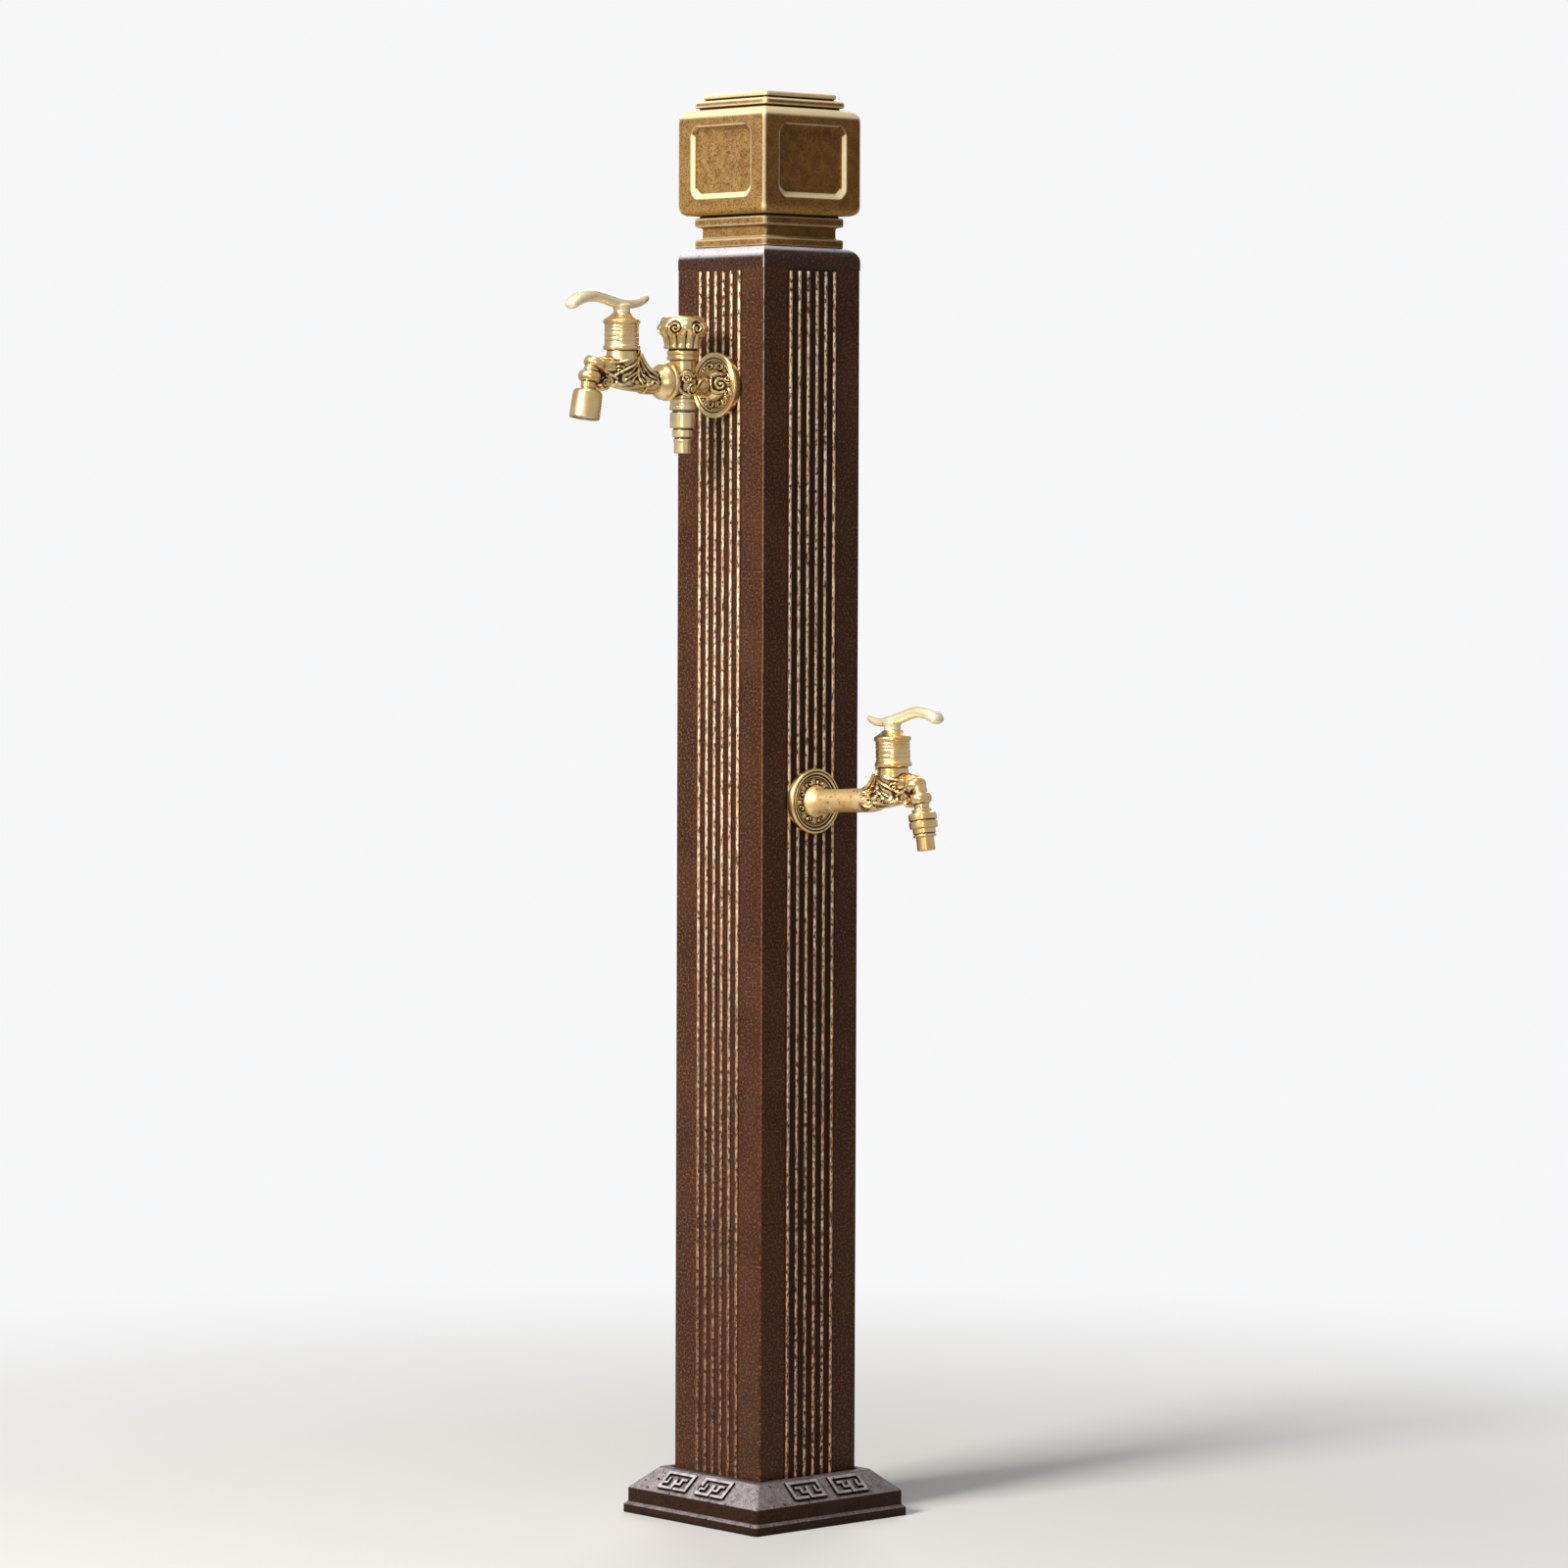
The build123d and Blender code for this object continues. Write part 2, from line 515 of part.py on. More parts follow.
def wall_outlet(frame, rise, open_top):
    """A tee or an elbow on the riser whose branch meets a tap's shank."""
    middle = frame.origin.Z
    foot, head = middle - run_reach, middle + rise
    way_r = riser_r - riser_wall
    with BuildPart() as outlet:
        post_up(run_r, foot, head)
        round_bar(across_at(frame, -post_half), thread_r + branch_wall, branch_mouth)
        post_up(way_r, foot, head if open_top else middle, mode=Mode.SUBTRACT)
        post_up(riser_r + run_fit, foot, foot + riser_grip, mode=Mode.SUBTRACT)
        if open_top:
            post_up(riser_r + run_fit, head - riser_grip, head, mode=Mode.SUBTRACT)
        round_bar(across_at(frame, -post_half), way_r, branch_mouth, mode=Mode.SUBTRACT)
        socket = across_at(frame, shank_end - post_half)
        round_bar(socket, thread_r + run_fit, branch_grip, mode=Mode.SUBTRACT)
    return outlet.part


save(wall_outlet(lower, run_reach, True), "riser_tee")
save(wall_outlet(upper, elbow_head, False), "riser_elbow")


def wall_washer(frame):
    """The washer against the inside of the post's wall."""
    low, high = -post_wall - wall_washer_t, -post_wall
    hole, rim = thread_r + run_fit, thread_r + wall_washer_rim
    with BuildPart() as washer:
        turn_out(frame, [(low, hole), (high, hole), (high, rim), (low, rim)])
    return washer.part


def wall_locknut(frame):
    """The nut that pulls a tap's shank inwards."""
    with BuildPart() as nut:
        start = across_at(frame, -post_wall - wall_washer_t - locknut_h)
        hexagon(start, locknut_flats, locknut_h)
        round_bar(start, thread_r + run_fit, locknut_h, mode=Mode.SUBTRACT)
    return nut.part


def rosette(frame):
    """The round wall flange: a dish with a raised rolled rim."""
    rim_front = rosette_back + rosette_rim_t
    hole = thread_r + run_fit
    with BuildPart() as flange:
        turn_out(frame, [
            (rosette_back, hole), (dish_front, hole), (dish_front, rosette_dish_r),
            (rim_front, rosette_dish_r + rosette_dish_t), (rim_front, rosette_r - rosette_dish_t / 2),
            (dish_front, rosette_r), (rosette_back, rosette_r),
        ])
    return flange.part


for prefix, frame in (("upper", upper), ("lower", lower)):
    save(wall_washer(frame), f"{prefix}_wall_washer")
    save(wall_locknut(frame), f"{prefix}_wall_locknut")
    save(rosette(frame), f"{prefix}_rosette")


def shank(frame):
    """The threaded tail through the post's wall, with the shoulder that holds the rosette."""
    tail, flare_end = shank_end - post_half, dish_front + shoulder_length
    shoulder_r = thread_r + shoulder_rim
    turn_out(frame, [
        (tail, 0), (tail, thread_r), (dish_front, thread_r), (dish_front, shoulder_r),
        (dish_front + wall_overlap, shoulder_r), (flare_end, tail_r), (flare_end, 0),
    ])


def shank_bore(frame):
    """The water way through the threaded tail."""
    tail = shank_end - post_half
    round_bar(across_at(frame, tail), shank_bore_r, dish_front - tail, mode=Mode.SUBTRACT)


def valve_chamber(frame, along, valve):
    """The bore for a cartridge and the seat hole below it."""
    depth = valve["base"] - seat_floor
    round_bar(level_at(frame, along, seat_floor), valve["bore_r"], depth, mode=Mode.SUBTRACT)
    round_bar(level_at(frame, along, 0), seat_r, seat_floor, mode=Mode.SUBTRACT)


def spout_path(frame, along, reach, drop, tilt):
    """The line of a spout's bore: outwards, round a bend and down to its mouth."""
    bend = along + reach - (drop + spout_rise) * tan(radians(tilt))
    with BuildLine(upright(frame)) as path:
        FilletPolyline(
            (along + spout_start, spout_rise), (bend, spout_rise), (along + reach, -drop), radius=spout_bend_r
        )
    return path.line


def lever_body_shape(frame, along, reach, drop, tilt):
    """The egg, the neck and the spout that both lever bodies share."""
    half = upright(frame, along - egg_back)
    with BuildSketch(half) as egg:
        with Locations((0, egg_rise)):
            Ellipse(egg_half_length, egg_r)
        with Locations((0, egg_rise - egg_r)):
            Rectangle(2 * egg_half_length, 2 * egg_r, mode=Mode.SUBTRACT)
    revolve(egg.sketch, axis=Axis(half.from_local_coords((0, egg_rise, 0)), half.x_dir))
    round_bar(level_at(frame, along, egg_rise), lever_neck_r, lever_neck_top - egg_rise)
    path = spout_path(frame, along, reach, drop, tilt)
    with BuildSketch(across_at(frame, along + spout_start, spout_rise)) as section:
        Circle(spout_r)
    sweep(section.sketch, path=path)


def lever_body_bores(frame, along, reach, drop, tilt):
    """The chamber, the seat and the spout's bore."""
    path = spout_path(frame, along, reach, drop, tilt)
    with BuildSketch(across_at(frame, along + spout_start, spout_rise)) as section:
        Circle(spout_bore_r)
    sweep(section.sketch, path=path, mode=Mode.SUBTRACT)
    valve_chamber(frame, along, lever_valve)


def outlet_frame(frame, along, reach, drop, tilt):
    """A frame at a spout's mouth whose z axis runs back up the spout."""
    return tipped(frame, along + reach, -drop, tilt)


# First body of the double tap: shank, ball with the knob's valve, hose outlet below, union spigot in front
spigot_end = union_at - spigot_end_gap
nozzle_seat = -ball_low - socket_depth / 2
nozzle_socket_top = nozzle_seat + socket_depth
with BuildPart() as upper_tap_body:
    shank(upper)
    round_bar(across_at(upper, dish_front), tail_r, knob_valve_at - dish_front)
    turn_up(upper, knob_valve_at, [
        (0, nozzle_seat), (nozzle_collar_r, nozzle_seat), (nozzle_collar_r, -ball_low),
        (ball_r, -ball_low / 3), (ball_r, ball_low / 3), (ball_neck_r, ball_high),
        (ball_neck_r, ball_neck_top), (0, ball_neck_top),
    ])
    round_bar(across_at(upper, knob_valve_at), spigot_r, spigot_end - knob_valve_at)
    shank_bore(upper)
    round_bar(across_at(upper, dish_front), tail_bore_r, spigot_end - dish_front, mode=Mode.SUBTRACT)
    valve_chamber(upper, knob_valve_at, knob_valve)
    round_bar(level_at(upper, knob_valve_at, nozzle_seat), socket_r, socket_depth, mode=Mode.SUBTRACT)
    # The way down from the chamber to the nozzle passes beside the main bore
    way_r = (knob_valve["bore_r"] - tail_bore_r) / 2
    way_low = nozzle_socket_top - wall_overlap
    way_foot = level_at(upper, knob_valve_at, way_low).from_local_coords((0, tail_bore_r + way_r, 0))
    round_bar(Plane(way_foot, upper.x_dir, upper.z_dir), way_r - run_fit, seat_floor + overrun - way_low,
              mode=Mode.SUBTRACT)
save(upper_tap_body.part, "upper_tap_body")


# Union between the two bodies
flange_at = spigot_end + union_seal_t
lip_at = flange_at + union_flange_t + run_fit
with BuildPart() as union_nut:
    half_length = union_length / 2
    end_r = (union_r + spigot_r) / 2
    turn_out(upper, [
        (union_at - half_length, 0), (union_at - half_length, end_r), (union_at - half_length / 2, union_r),
        (union_at + half_length / 2, union_r), (union_at + half_length, end_r), (union_at + half_length, 0),
    ])
    round_bar(across_at(upper, union_at - half_length), spigot_r + run_fit, lip_at - union_at + half_length,
              mode=Mode.SUBTRACT)
    round_bar(across_at(upper, union_at), upper_tail_r + run_fit, half_length, mode=Mode.SUBTRACT)
save(union_nut.part, "union_nut")

with BuildPart() as union_seal:
    turn_out(upper, [
        (spigot_end, tail_bore_r), (flange_at, tail_bore_r), (flange_at, union_flange_r),
        (spigot_end, union_flange_r),
    ])
save(union_seal.part, "union_seal")


# Second body of the double tap
upper_spout = (upper, upper_valve_at, upper_spout_reach, upper_spout_drop, upper_spout_tilt)
upper_mouth = outlet_frame(*upper_spout)
aerator_bore_r = aerator_r - aerator_wall
with BuildPart() as upper_lever_body:
    turn_out(upper, [
        (flange_at, 0), (flange_at, union_flange_r), (flange_at + union_flange_t, union_flange_r),
        (flange_at + union_flange_t, upper_tail_r), (upper_valve_at, upper_tail_r), (upper_valve_at, 0),
    ])
    lever_body_shape(*upper_spout)
    mouth_r = aerator_bore_r - run_fit
    turn_up(upper_mouth, 0, [
        (0, mouth_r - spout_r), (spout_r, mouth_r - spout_r), (mouth_r, 0), (mouth_r, -aerator_thread),
        (0, -aerator_thread),
    ])
    round_bar(across_at(upper, flange_at), tail_bore_r, upper_valve_at - flange_at, mode=Mode.SUBTRACT)
    lever_body_bores(*upper_spout)
    turn_up(upper_mouth, 0, [
        (0, wall_overlap), (spout_bore_r, wall_overlap), (spout_r, -aerator_thread), (0, -aerator_thread),
    ], mode=Mode.SUBTRACT)
save(upper_lever_body.part, "upper_lever_body")

with BuildPart() as aerator_shell:
    lip_low = -aerator_length + aerator_lip_t
    turn_up(upper_mouth, 0, [
        (aerator_bore_r, -wall_overlap / 2), (aerator_r, -wall_overlap), (aerator_r, -aerator_length),
        (aerator_bore_r - aerator_lip, -aerator_length), (aerator_bore_r - aerator_lip, lip_low),
        (aerator_bore_r, lip_low),
    ])
save(aerator_shell.part, "aerator_shell")

with BuildPart() as aerator_insert:
    insert_base = level_at(upper_mouth, 0, lip_low)
    round_bar(insert_base, aerator_bore_r - run_fit, insert_length)
    with BuildSketch(insert_base) as grid:
        Circle(insert_hole_r)
        for ring in range(1, insert_rings + 1):
            with PolarLocations(ring * insert_ring_pitch, 6 * ring):
                Circle(insert_hole_r)
    extrude(grid.sketch, amount=insert_length, mode=Mode.SUBTRACT)
save(aerator_insert.part, "aerator_insert")


# Lower tap: shank, climbing pipe, lever body
lower_spout = (lower_nose, lower_valve_at, lower_spout_reach, lower_spout_drop, lower_spout_tilt)
lower_mouth = outlet_frame(*lower_spout)
with BuildPart() as lower_tap_body:
    shank(lower)
    pipe_from, bore_from = dish_front + wall_overlap, dish_front / 2
    turn_out(lower_nose, [
        (pipe_from, 0), (pipe_from, tail_r), (dish_front + shoulder_length, long_pipe_start_r),
        (lower_valve_at, long_pipe_end_r), (lower_valve_at, 0),
    ])
    lever_body_shape(*lower_spout)
    turn_up(lower_mouth, 0, [
        (0, 2 * socket_depth), (spout_r, 2 * socket_depth), (nozzle_collar_r, socket_depth),
        (nozzle_collar_r, 0), (0, 0),
    ])
    shank_bore(lower)
    round_bar(across_at(lower_nose, bore_from), tail_bore_r, lower_valve_at - bore_from, mode=Mode.SUBTRACT)
    lever_body_bores(*lower_spout)
    round_bar(level_at(lower_mouth, 0, 0), socket_r, socket_depth, mode=Mode.SUBTRACT)
save(lower_tap_body.part, "lower_tap_body")


def hose_nozzle(frame, along, seat, radius, length, shares):
    """A stepped nozzle screwed into the socket above seat."""
    low = seat - nozzle_seal_t
    outline = [(nozzle_collar_r, low)] + [(radius * r, low - length * h) for r, h in shares]
    grip = socket_r - run_fit
    with BuildPart() as nozzle:
        turn_up(frame, along, [
            (nozzle_bore_r, low - length), (nozzle_bore_r, seat + socket_depth - wall_overlap),
            (grip, seat + socket_depth - wall_overlap), (grip, low)] + outline)
    return nozzle.part


def nozzle_seal(frame, along, seat):
    """The flat seal between a socket's face and the nozzle's collar."""
    with BuildPart() as seal:
        turn_up(frame, along, [
            (socket_r, seat - nozzle_seal_t), (socket_r, seat), (nozzle_collar_r, seat),
            (nozzle_collar_r, seat - nozzle_seal_t),
        ])
    return seal.part


save(hose_nozzle(upper, knob_valve_at, nozzle_seat, upper_nozzle_r, upper_nozzle_length, upper_nozzle_shares),
     "upper_hose_nozzle")
save(nozzle_seal(upper, knob_valve_at, nozzle_seat), "upper_nozzle_seal")
save(hose_nozzle(lower_mouth, 0, 0, lower_nozzle_r, lower_nozzle_length, lower_nozzle_shares),
     "lower_hose_nozzle")
save(nozzle_seal(lower_mouth, 0, 0), "lower_nozzle_seal")


def seat_seal(frame, along, valve):
    """The rubber ring under the fixed disc."""
    outer = valve["bore_r"] - disc_slack
    with BuildPart() as seal:
        turn_up(frame, along, [
            (seat_r, seat_floor), (outer, seat_floor), (outer, seat_floor + valve["seal_t"]),
            (seat_r, seat_floor + valve["seal_t"]),
        ])
    return seal.part


def ceramic_disc(frame, along, valve, low, turned):
    """A round disc with two opposite ports."""
    radius = valve["bore_r"] - disc_slack
    base = level_at(frame, along, low)
    with BuildPart() as disc:
        round_bar(base, radius, valve["disc_t"])
        with BuildSketch(base) as ports:
            for start in (turned, turned + 180):
                with BuildSketch(base, mode=Mode.PRIVATE) as port:
                    with BuildLine():
                        inner = CenterArc((0, 0), radius * port_inner_share, start, port_angle)
                        outer = CenterArc((0, 0), radius * port_outer_share, start, port_angle)
                        Line(inner @ 0, outer @ 0)
                        Line(inner @ 1, outer @ 1)
                    make_face()
                add(port.sketch_local)
        extrude(ports.sketch, amount=valve["disc_t"], mode=Mode.SUBTRACT)
    return disc.part


def spindle(frame, along, valve, low):
    """The drive plate and its round stem."""
    radius, stem = valve["bore_r"] - 2 * disc_slack, valve["spindle_r"]
    plate_top, stem_top = low + valve["drive_t"], valve["base"] + valve["stem_h"]
    with BuildPart() as turned_part:
        turn_up(frame, along, [
            (0, low), (radius, low), (radius, plate_top), (stem, plate_top), (stem, stem_top), (0, stem_top),
        ])
    return turned_part.part


def headwork(frame, along, valve, low):
    """The bush that holds the spindle, with its hexagon on the body's neck."""
    base, stem_hole = valve["base"], valve["spindle_r"] + run_fit
    with BuildPart() as bush:
        round_bar(level_at(frame, along, low), valve["bore_r"] - run_fit, base - low)
        hexagon(level_at(frame, along, base), 2 * (valve["bore_r"] + hex_rim), valve["hex_h"])
        round_bar(level_at(frame, along, base), valve["spindle_r"] + valve["neck_wall"], valve["neck_h"])
        round_bar(level_at(frame, along, low), stem_hole, base + valve["neck_h"] - low, mode=Mode.SUBTRACT)
    return bush.part


def stem_socket(frame, along, valve, low):
    """The blind hole in a handle that takes the stem."""
    depth = valve["base"] + valve["stem_h"] + run_fit - low
    round_bar(level_at(frame, along, low), valve["spindle_r"] + run_fit, depth, mode=Mode.SUBTRACT)


def bonnet_bore(valve):
    """The inside radius of a cover that clears the headwork's hexagon."""
    return (valve["bore_r"] + hex_rim) / cos(radians(30)) + hex_gap


def lever_bonnet(frame, along, valve):
    """A ringed sleeve with a cone that closes round the lever's hub."""
    base, top = lever_neck_top, lever_neck_top + lever_bonnet_h
    sleeve_r = lever_neck_r + lever_bonnet_rim
    ring_r = sleeve_r + lever_bonnet_ring
    inside, hole = bonnet_bore(valve), hub_r + hub_gap
    low_ring, high_ring = base + lever_bonnet_ring_h, top - lever_bonnet_ring_h
    with BuildPart() as bonnet:
        turn_up(frame, along, [
            (inside, base), (ring_r, base), (ring_r, low_ring), (sleeve_r, low_ring), (sleeve_r, high_ring),
            (ring_r, high_ring), (ring_r, top), (hole, top + lever_bonnet_cone), (hole, top),
            (inside, top - bonnet_wall),
        ])
    return bonnet.part


def lever(frame, along, valve):
    """The S-shaped lever on its round hub."""
    plane = upright(frame, along)
    base = valve["base"] + lever_base_h
    reach = {True: lever_arm, False: lever_tail}
    middle = [(reach[x > 0] * x, base + lever_rise * y) for x, y in lever_line_shares]
    plan = [(reach[x > 0] * x, lever_half_width * y) for x, y in lever_plan_shares]
    with BuildPart() as handle:
        with BuildSketch(plane) as side:
            with BuildLine():
                over = Spline([(x, y + lever_t / 2) for x, y in middle])
                under = Spline([(x, y - lever_t / 2) for x, y in middle])
                Line(over @ 0, under @ 0)
                Line(over @ 1, under @ 1)
            make_face()
        extrude(side.sketch, amount=lever_half_width + overrun, both=True)
        with BuildSketch(level_at(frame, along, base - lever_rise)) as outline:
            with BuildLine():
                left = Spline([(x, y) for x, y in plan])
                right = Spline([(x, -y) for x, y in plan])
                Line(left @ 0, right @ 0)
                Line(left @ 1, right @ 1)
            make_face()
        extrude(outline.sketch, amount=3 * lever_rise, mode=Mode.INTERSECT)
        hub_low = valve["base"] + valve["neck_h"] + loose_fit
        round_bar(level_at(frame, along, hub_low), hub_r, valve["base"] + hub_h - hub_low)
        stem_socket(frame, along, valve, hub_low)
        round_bar(grub_plane(frame, along, lever_grub_h, valve), grub_r + run_fit, hub_r, mode=Mode.SUBTRACT)
    return handle.part


def grub_plane(frame, along, rise, valve):
    """A plane on the stem's surface, facing the post, where the grub screw starts."""
    start = frame.from_local_coords((along - valve["spindle_r"] - run_fit, 0, valve["base"] + rise))
    return Plane(start, x_dir=frame.y_dir, z_dir=-frame.x_dir)


def grub_screw(frame, along, rise, valve, length):
    """The screw that holds a handle on its stem."""
    with BuildPart() as screw:
        round_bar(grub_plane(frame, along, rise, valve), grub_r, length)
    return screw.part


def knob_cover(frame, along, valve):
    """The ringed cover under the flower knob."""
    base, top = ball_neck_top, knob_bonnet_top
    sleeve_r = ball_neck_r + knob_bonnet_rim
    ring_r, ring_top = sleeve_r + knob_bonnet_ring, base + knob_bonnet_ring_h
    inside, hole = bonnet_bore(valve), knob_hub_r + hub_gap
    bevel = bonnet_wall / 2
    with BuildPart() as cover:
        turn_up(frame, along, [
            (inside, base), (ring_r, base), (ring_r, ring_top), (sleeve_r, ring_top), (sleeve_r, top - bevel),
            (sleeve_r - bevel, top), (hole, top), (hole, top - bonnet_wall), (inside, top - bonnet_wall),
        ])
    return cover.part


def flower_knob(frame, along, valve):
    """The knob, drawn here as the turned form that its petals fill."""
    hub_low = valve["base"] + valve["neck_h"] + loose_fit
    low, top = knob_bonnet_top + hub_gap, valve["base"] + knob_h
    outline = [(0, hub_low), (knob_hub_r, hub_low), (knob_hub_r, low)]
    outline += [(knob_r * r, low + (top - low) * h) for r, h in knob_outline_shares] + [(0, top)]
    with BuildPart() as knob:
        turn_up(frame, along, outline)
        stem_socket(frame, along, valve, hub_low)
        round_bar(grub_plane(frame, along, knob_grub_h, valve), grub_r + run_fit, knob_r, mode=Mode.SUBTRACT)
    return knob.part


def cartridge(prefix, frame, along, valve):
    """The pieces that every quarter-turn valve holds, one on another from the seat up."""
    fixed = seat_floor + valve["seal_t"]
    moving = fixed + valve["disc_t"] + disc_film
    drive = moving + valve["disc_t"]
    bush = drive + valve["drive_t"] + disc_film
    save(seat_seal(frame, along, valve), f"{prefix}_seat_seal")
    save(ceramic_disc(frame, along, valve, fixed, 0), f"{prefix}_fixed_disc")
    save(ceramic_disc(frame, along, valve, moving, 90), f"{prefix}_moving_disc")
    save(spindle(frame, along, valve, drive), f"{prefix}_spindle")
    save(headwork(frame, along, valve, bush), f"{prefix}_headwork")


cartridge("knob", upper, knob_valve_at, knob_valve)
save(knob_cover(upper, knob_valve_at, knob_valve), "knob_bonnet")
save(flower_knob(upper, knob_valve_at, knob_valve), "flower_knob")
save(grub_screw(upper, knob_valve_at, knob_grub_h, knob_valve, knob_grub_length), "knob_grub_screw")

lever_grub_length = hub_r - lever_valve["spindle_r"] - 2 * run_fit
for prefix, frame, along in (
    ("upper_lever", upper, upper_valve_at),
    ("lower_lever", lower_nose, lower_valve_at),
):
    cartridge(prefix, frame, along, lever_valve)
    save(lever_bonnet(frame, along, lever_valve), f"{prefix}_bonnet")
    save(lever(frame, along, lever_valve), prefix)
    save(grub_screw(frame, along, lever_grub_h, lever_valve, lever_grub_length), f"{prefix}_grub_screw")
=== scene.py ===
import json
from math import cos, pi, radians, sin

import bmesh
import bpy
import numpy as np
from mathutils import Matrix, Vector


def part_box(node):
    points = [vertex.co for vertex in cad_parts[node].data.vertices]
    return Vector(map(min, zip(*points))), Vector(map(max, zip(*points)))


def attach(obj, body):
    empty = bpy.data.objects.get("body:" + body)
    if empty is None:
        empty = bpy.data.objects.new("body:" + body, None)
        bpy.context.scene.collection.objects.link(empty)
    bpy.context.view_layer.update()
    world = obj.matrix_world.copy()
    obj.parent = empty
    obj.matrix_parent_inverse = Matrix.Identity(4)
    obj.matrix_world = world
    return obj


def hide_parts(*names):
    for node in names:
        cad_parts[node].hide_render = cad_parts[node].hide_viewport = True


# Garden standpipe: the looks of its post, cap, plinth cover and taps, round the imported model.
# Shapes are drawn in millimetres. A tap's own frame has x outwards from the post, y sideways and z up.

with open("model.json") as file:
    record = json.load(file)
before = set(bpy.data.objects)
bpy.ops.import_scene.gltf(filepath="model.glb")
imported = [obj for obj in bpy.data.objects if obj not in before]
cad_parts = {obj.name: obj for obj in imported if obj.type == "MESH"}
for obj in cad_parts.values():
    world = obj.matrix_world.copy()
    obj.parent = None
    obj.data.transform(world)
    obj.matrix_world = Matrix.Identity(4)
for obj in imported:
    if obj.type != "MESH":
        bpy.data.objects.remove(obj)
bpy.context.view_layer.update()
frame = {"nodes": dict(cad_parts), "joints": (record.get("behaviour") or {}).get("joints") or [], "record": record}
MM = 0.001
# Corners round a turned piece
ROUND = 96

joints = {joint["name"]: joint for joint in frame["joints"]}
POST_HALF = 50.0
# Heights of the taps, and distances of the valves from the post's faces
UPPER_Z = joints["upper_lever_turn"]["pos_m"][2] / MM
UPPER_VALVE = -joints["upper_lever_turn"]["pos_m"][1] / MM - POST_HALF
KNOB_VALVE = -joints["knob_turn"]["pos_m"][1] / MM - POST_HALF
LOWER_Z = 557.0
LOWER_VALVE = 94.5
# The lower nose's climb, in degrees
LOWER_RISE = 2.6
COLLAR_TOP = 981.8
CAP_TOP = 1100.0


# Frames

class Place:
    """A frame on the object, in millimetres: x outwards, y sideways, z up."""

    def __init__(self, origin, out, up):
        self.out, self.up = Vector(out).normalized(), Vector(up).normalized()
        self.side = self.up.cross(self.out)
        self.origin = Vector(origin)

    def at(self, x, y, z):
        return self.origin + self.out * x + self.side * y + self.up * z

    def tipped(self, along, rise, degrees):
        """The frame moved outwards and up, with its x axis lifted by degrees."""
        k = radians(degrees)
        out, up = self.out * cos(k) + self.up * sin(k), self.up * cos(k) - self.out * sin(k)
        return Place(self.at(along, 0, rise), out, up)

    def matrix(self):
        turned = Matrix((self.out, self.side, self.up)).transposed().to_4x4()
        return Matrix.Scale(MM, 4) @ Matrix.Translation(self.origin) @ turned


WORLD = Place((0, 0, 0), (1, 0, 0), (0, 0, 1))
UPPER = Place((0, -POST_HALF, UPPER_Z), (0, -1, 0), (0, 0, 1))
LOWER = Place((POST_HALF, 0, LOWER_Z), (1, 0, 0), (0, 0, 1))
LOWER_NOSE = LOWER.tipped(0, 0, LOWER_RISE)


# Outlines and shapes, each a list of corners and a list of faces

def arc(x, y, radius, start, end, steps=8):
    """Points of an arc, its angles in degrees."""
    angles = [radians(start + (end - start) * k / steps) for k in range(steps + 1)]
    return [(x + radius * cos(a), y + radius * sin(a)) for a in angles]


def soften(points, radius, closed=False):
    """The outline with its corners rounded as far as their sides allow."""
    out = []
    for k, point in enumerate(points):
        if not closed and k in (0, len(points) - 1):
            out.append(point)
            continue
        here = Vector(point)
        before, after = Vector(points[k - 1]) - here, Vector(points[(k + 1) % len(points)]) - here
        reach = min(radius, before.length * 0.45, after.length * 0.45)
        a, b = here + before.normalized() * reach, here + after.normalized() * reach
        for s in (0, 0.25, 0.5, 0.75, 1):
            out.append(tuple(a * (1 - s) ** 2 + here * (2 * s * (1 - s)) + b * s ** 2))
    return out


def refine(points, step, closed=False):
    """The outline with points added so that none lie further apart than step."""
    out = []
    pairs = list(zip(points, points[1:])) + ([(points[-1], points[0])] if closed else [])
    for a, b in pairs:
        a, b = Vector(a), Vector(b)
        count = max(1, int((b - a).length / step))
        out.extend(tuple(a.lerp(b, k / count)) for k in range(count))
    return out if closed else out + [tuple(points[-1])]


def through(points, steps):
    """A smooth line through the points."""
    pts = [Vector(p) for p in points]
    ends = [pts[0] * 2 - pts[1]] + pts + [pts[-1] * 2 - pts[-2]]
    out = []
    for k in range(1, len(ends) - 2):
        p0, p1, p2, p3 = ends[k - 1:k + 3]
        for step in range(steps):
            t = step / steps
            out.append(0.5 * (p1 * 2 + (p2 - p0) * t + (p0 * 2 - p1 * 5 + p2 * 4 - p3) * t ** 2
                              + (p1 * 3 - p0 - p2 * 3 + p3) * t ** 3))
    return [tuple(p) for p in out] + [tuple(points[-1])]


def skin(rings, loop=False):
    """The faces between rings of equally many corners, with closed ends unless they run in a loop."""
    count, total = len(rings[0]), len(rings)
    corners = [v for ring in rings for v in ring]
    faces = []
    for i in range(total if loop else total - 1):
        a, b = i * count, (i + 1) % total * count
        faces += [(a + k, a + (k + 1) % count, b + (k + 1) % count, b + k) for k in range(count)]
    if not loop:
        faces += [tuple(range(count))[::-1], tuple(range((total - 1) * count, total * count))]
    return corners, faces


def whole_turn(count):
    """Angles spread evenly round a circle."""
    return [2 * pi * k / count for k in range(count)]


def turned(outline, along=0, loop=False):
    """An outline of (radius, height) turned about the up axis at along."""
    return skin([[(along + r * cos(a), r * sin(a), z) for a in whole_turn(ROUND)] for r, z in outline], loop)


def turned_out(outline, loop=False, count=ROUND):
    """An outline of (distance outwards, radius) turned about the outward axis."""
    return skin([[(x, r * cos(a), r * sin(a)) for a in whole_turn(count)] for x, r in outline], loop)


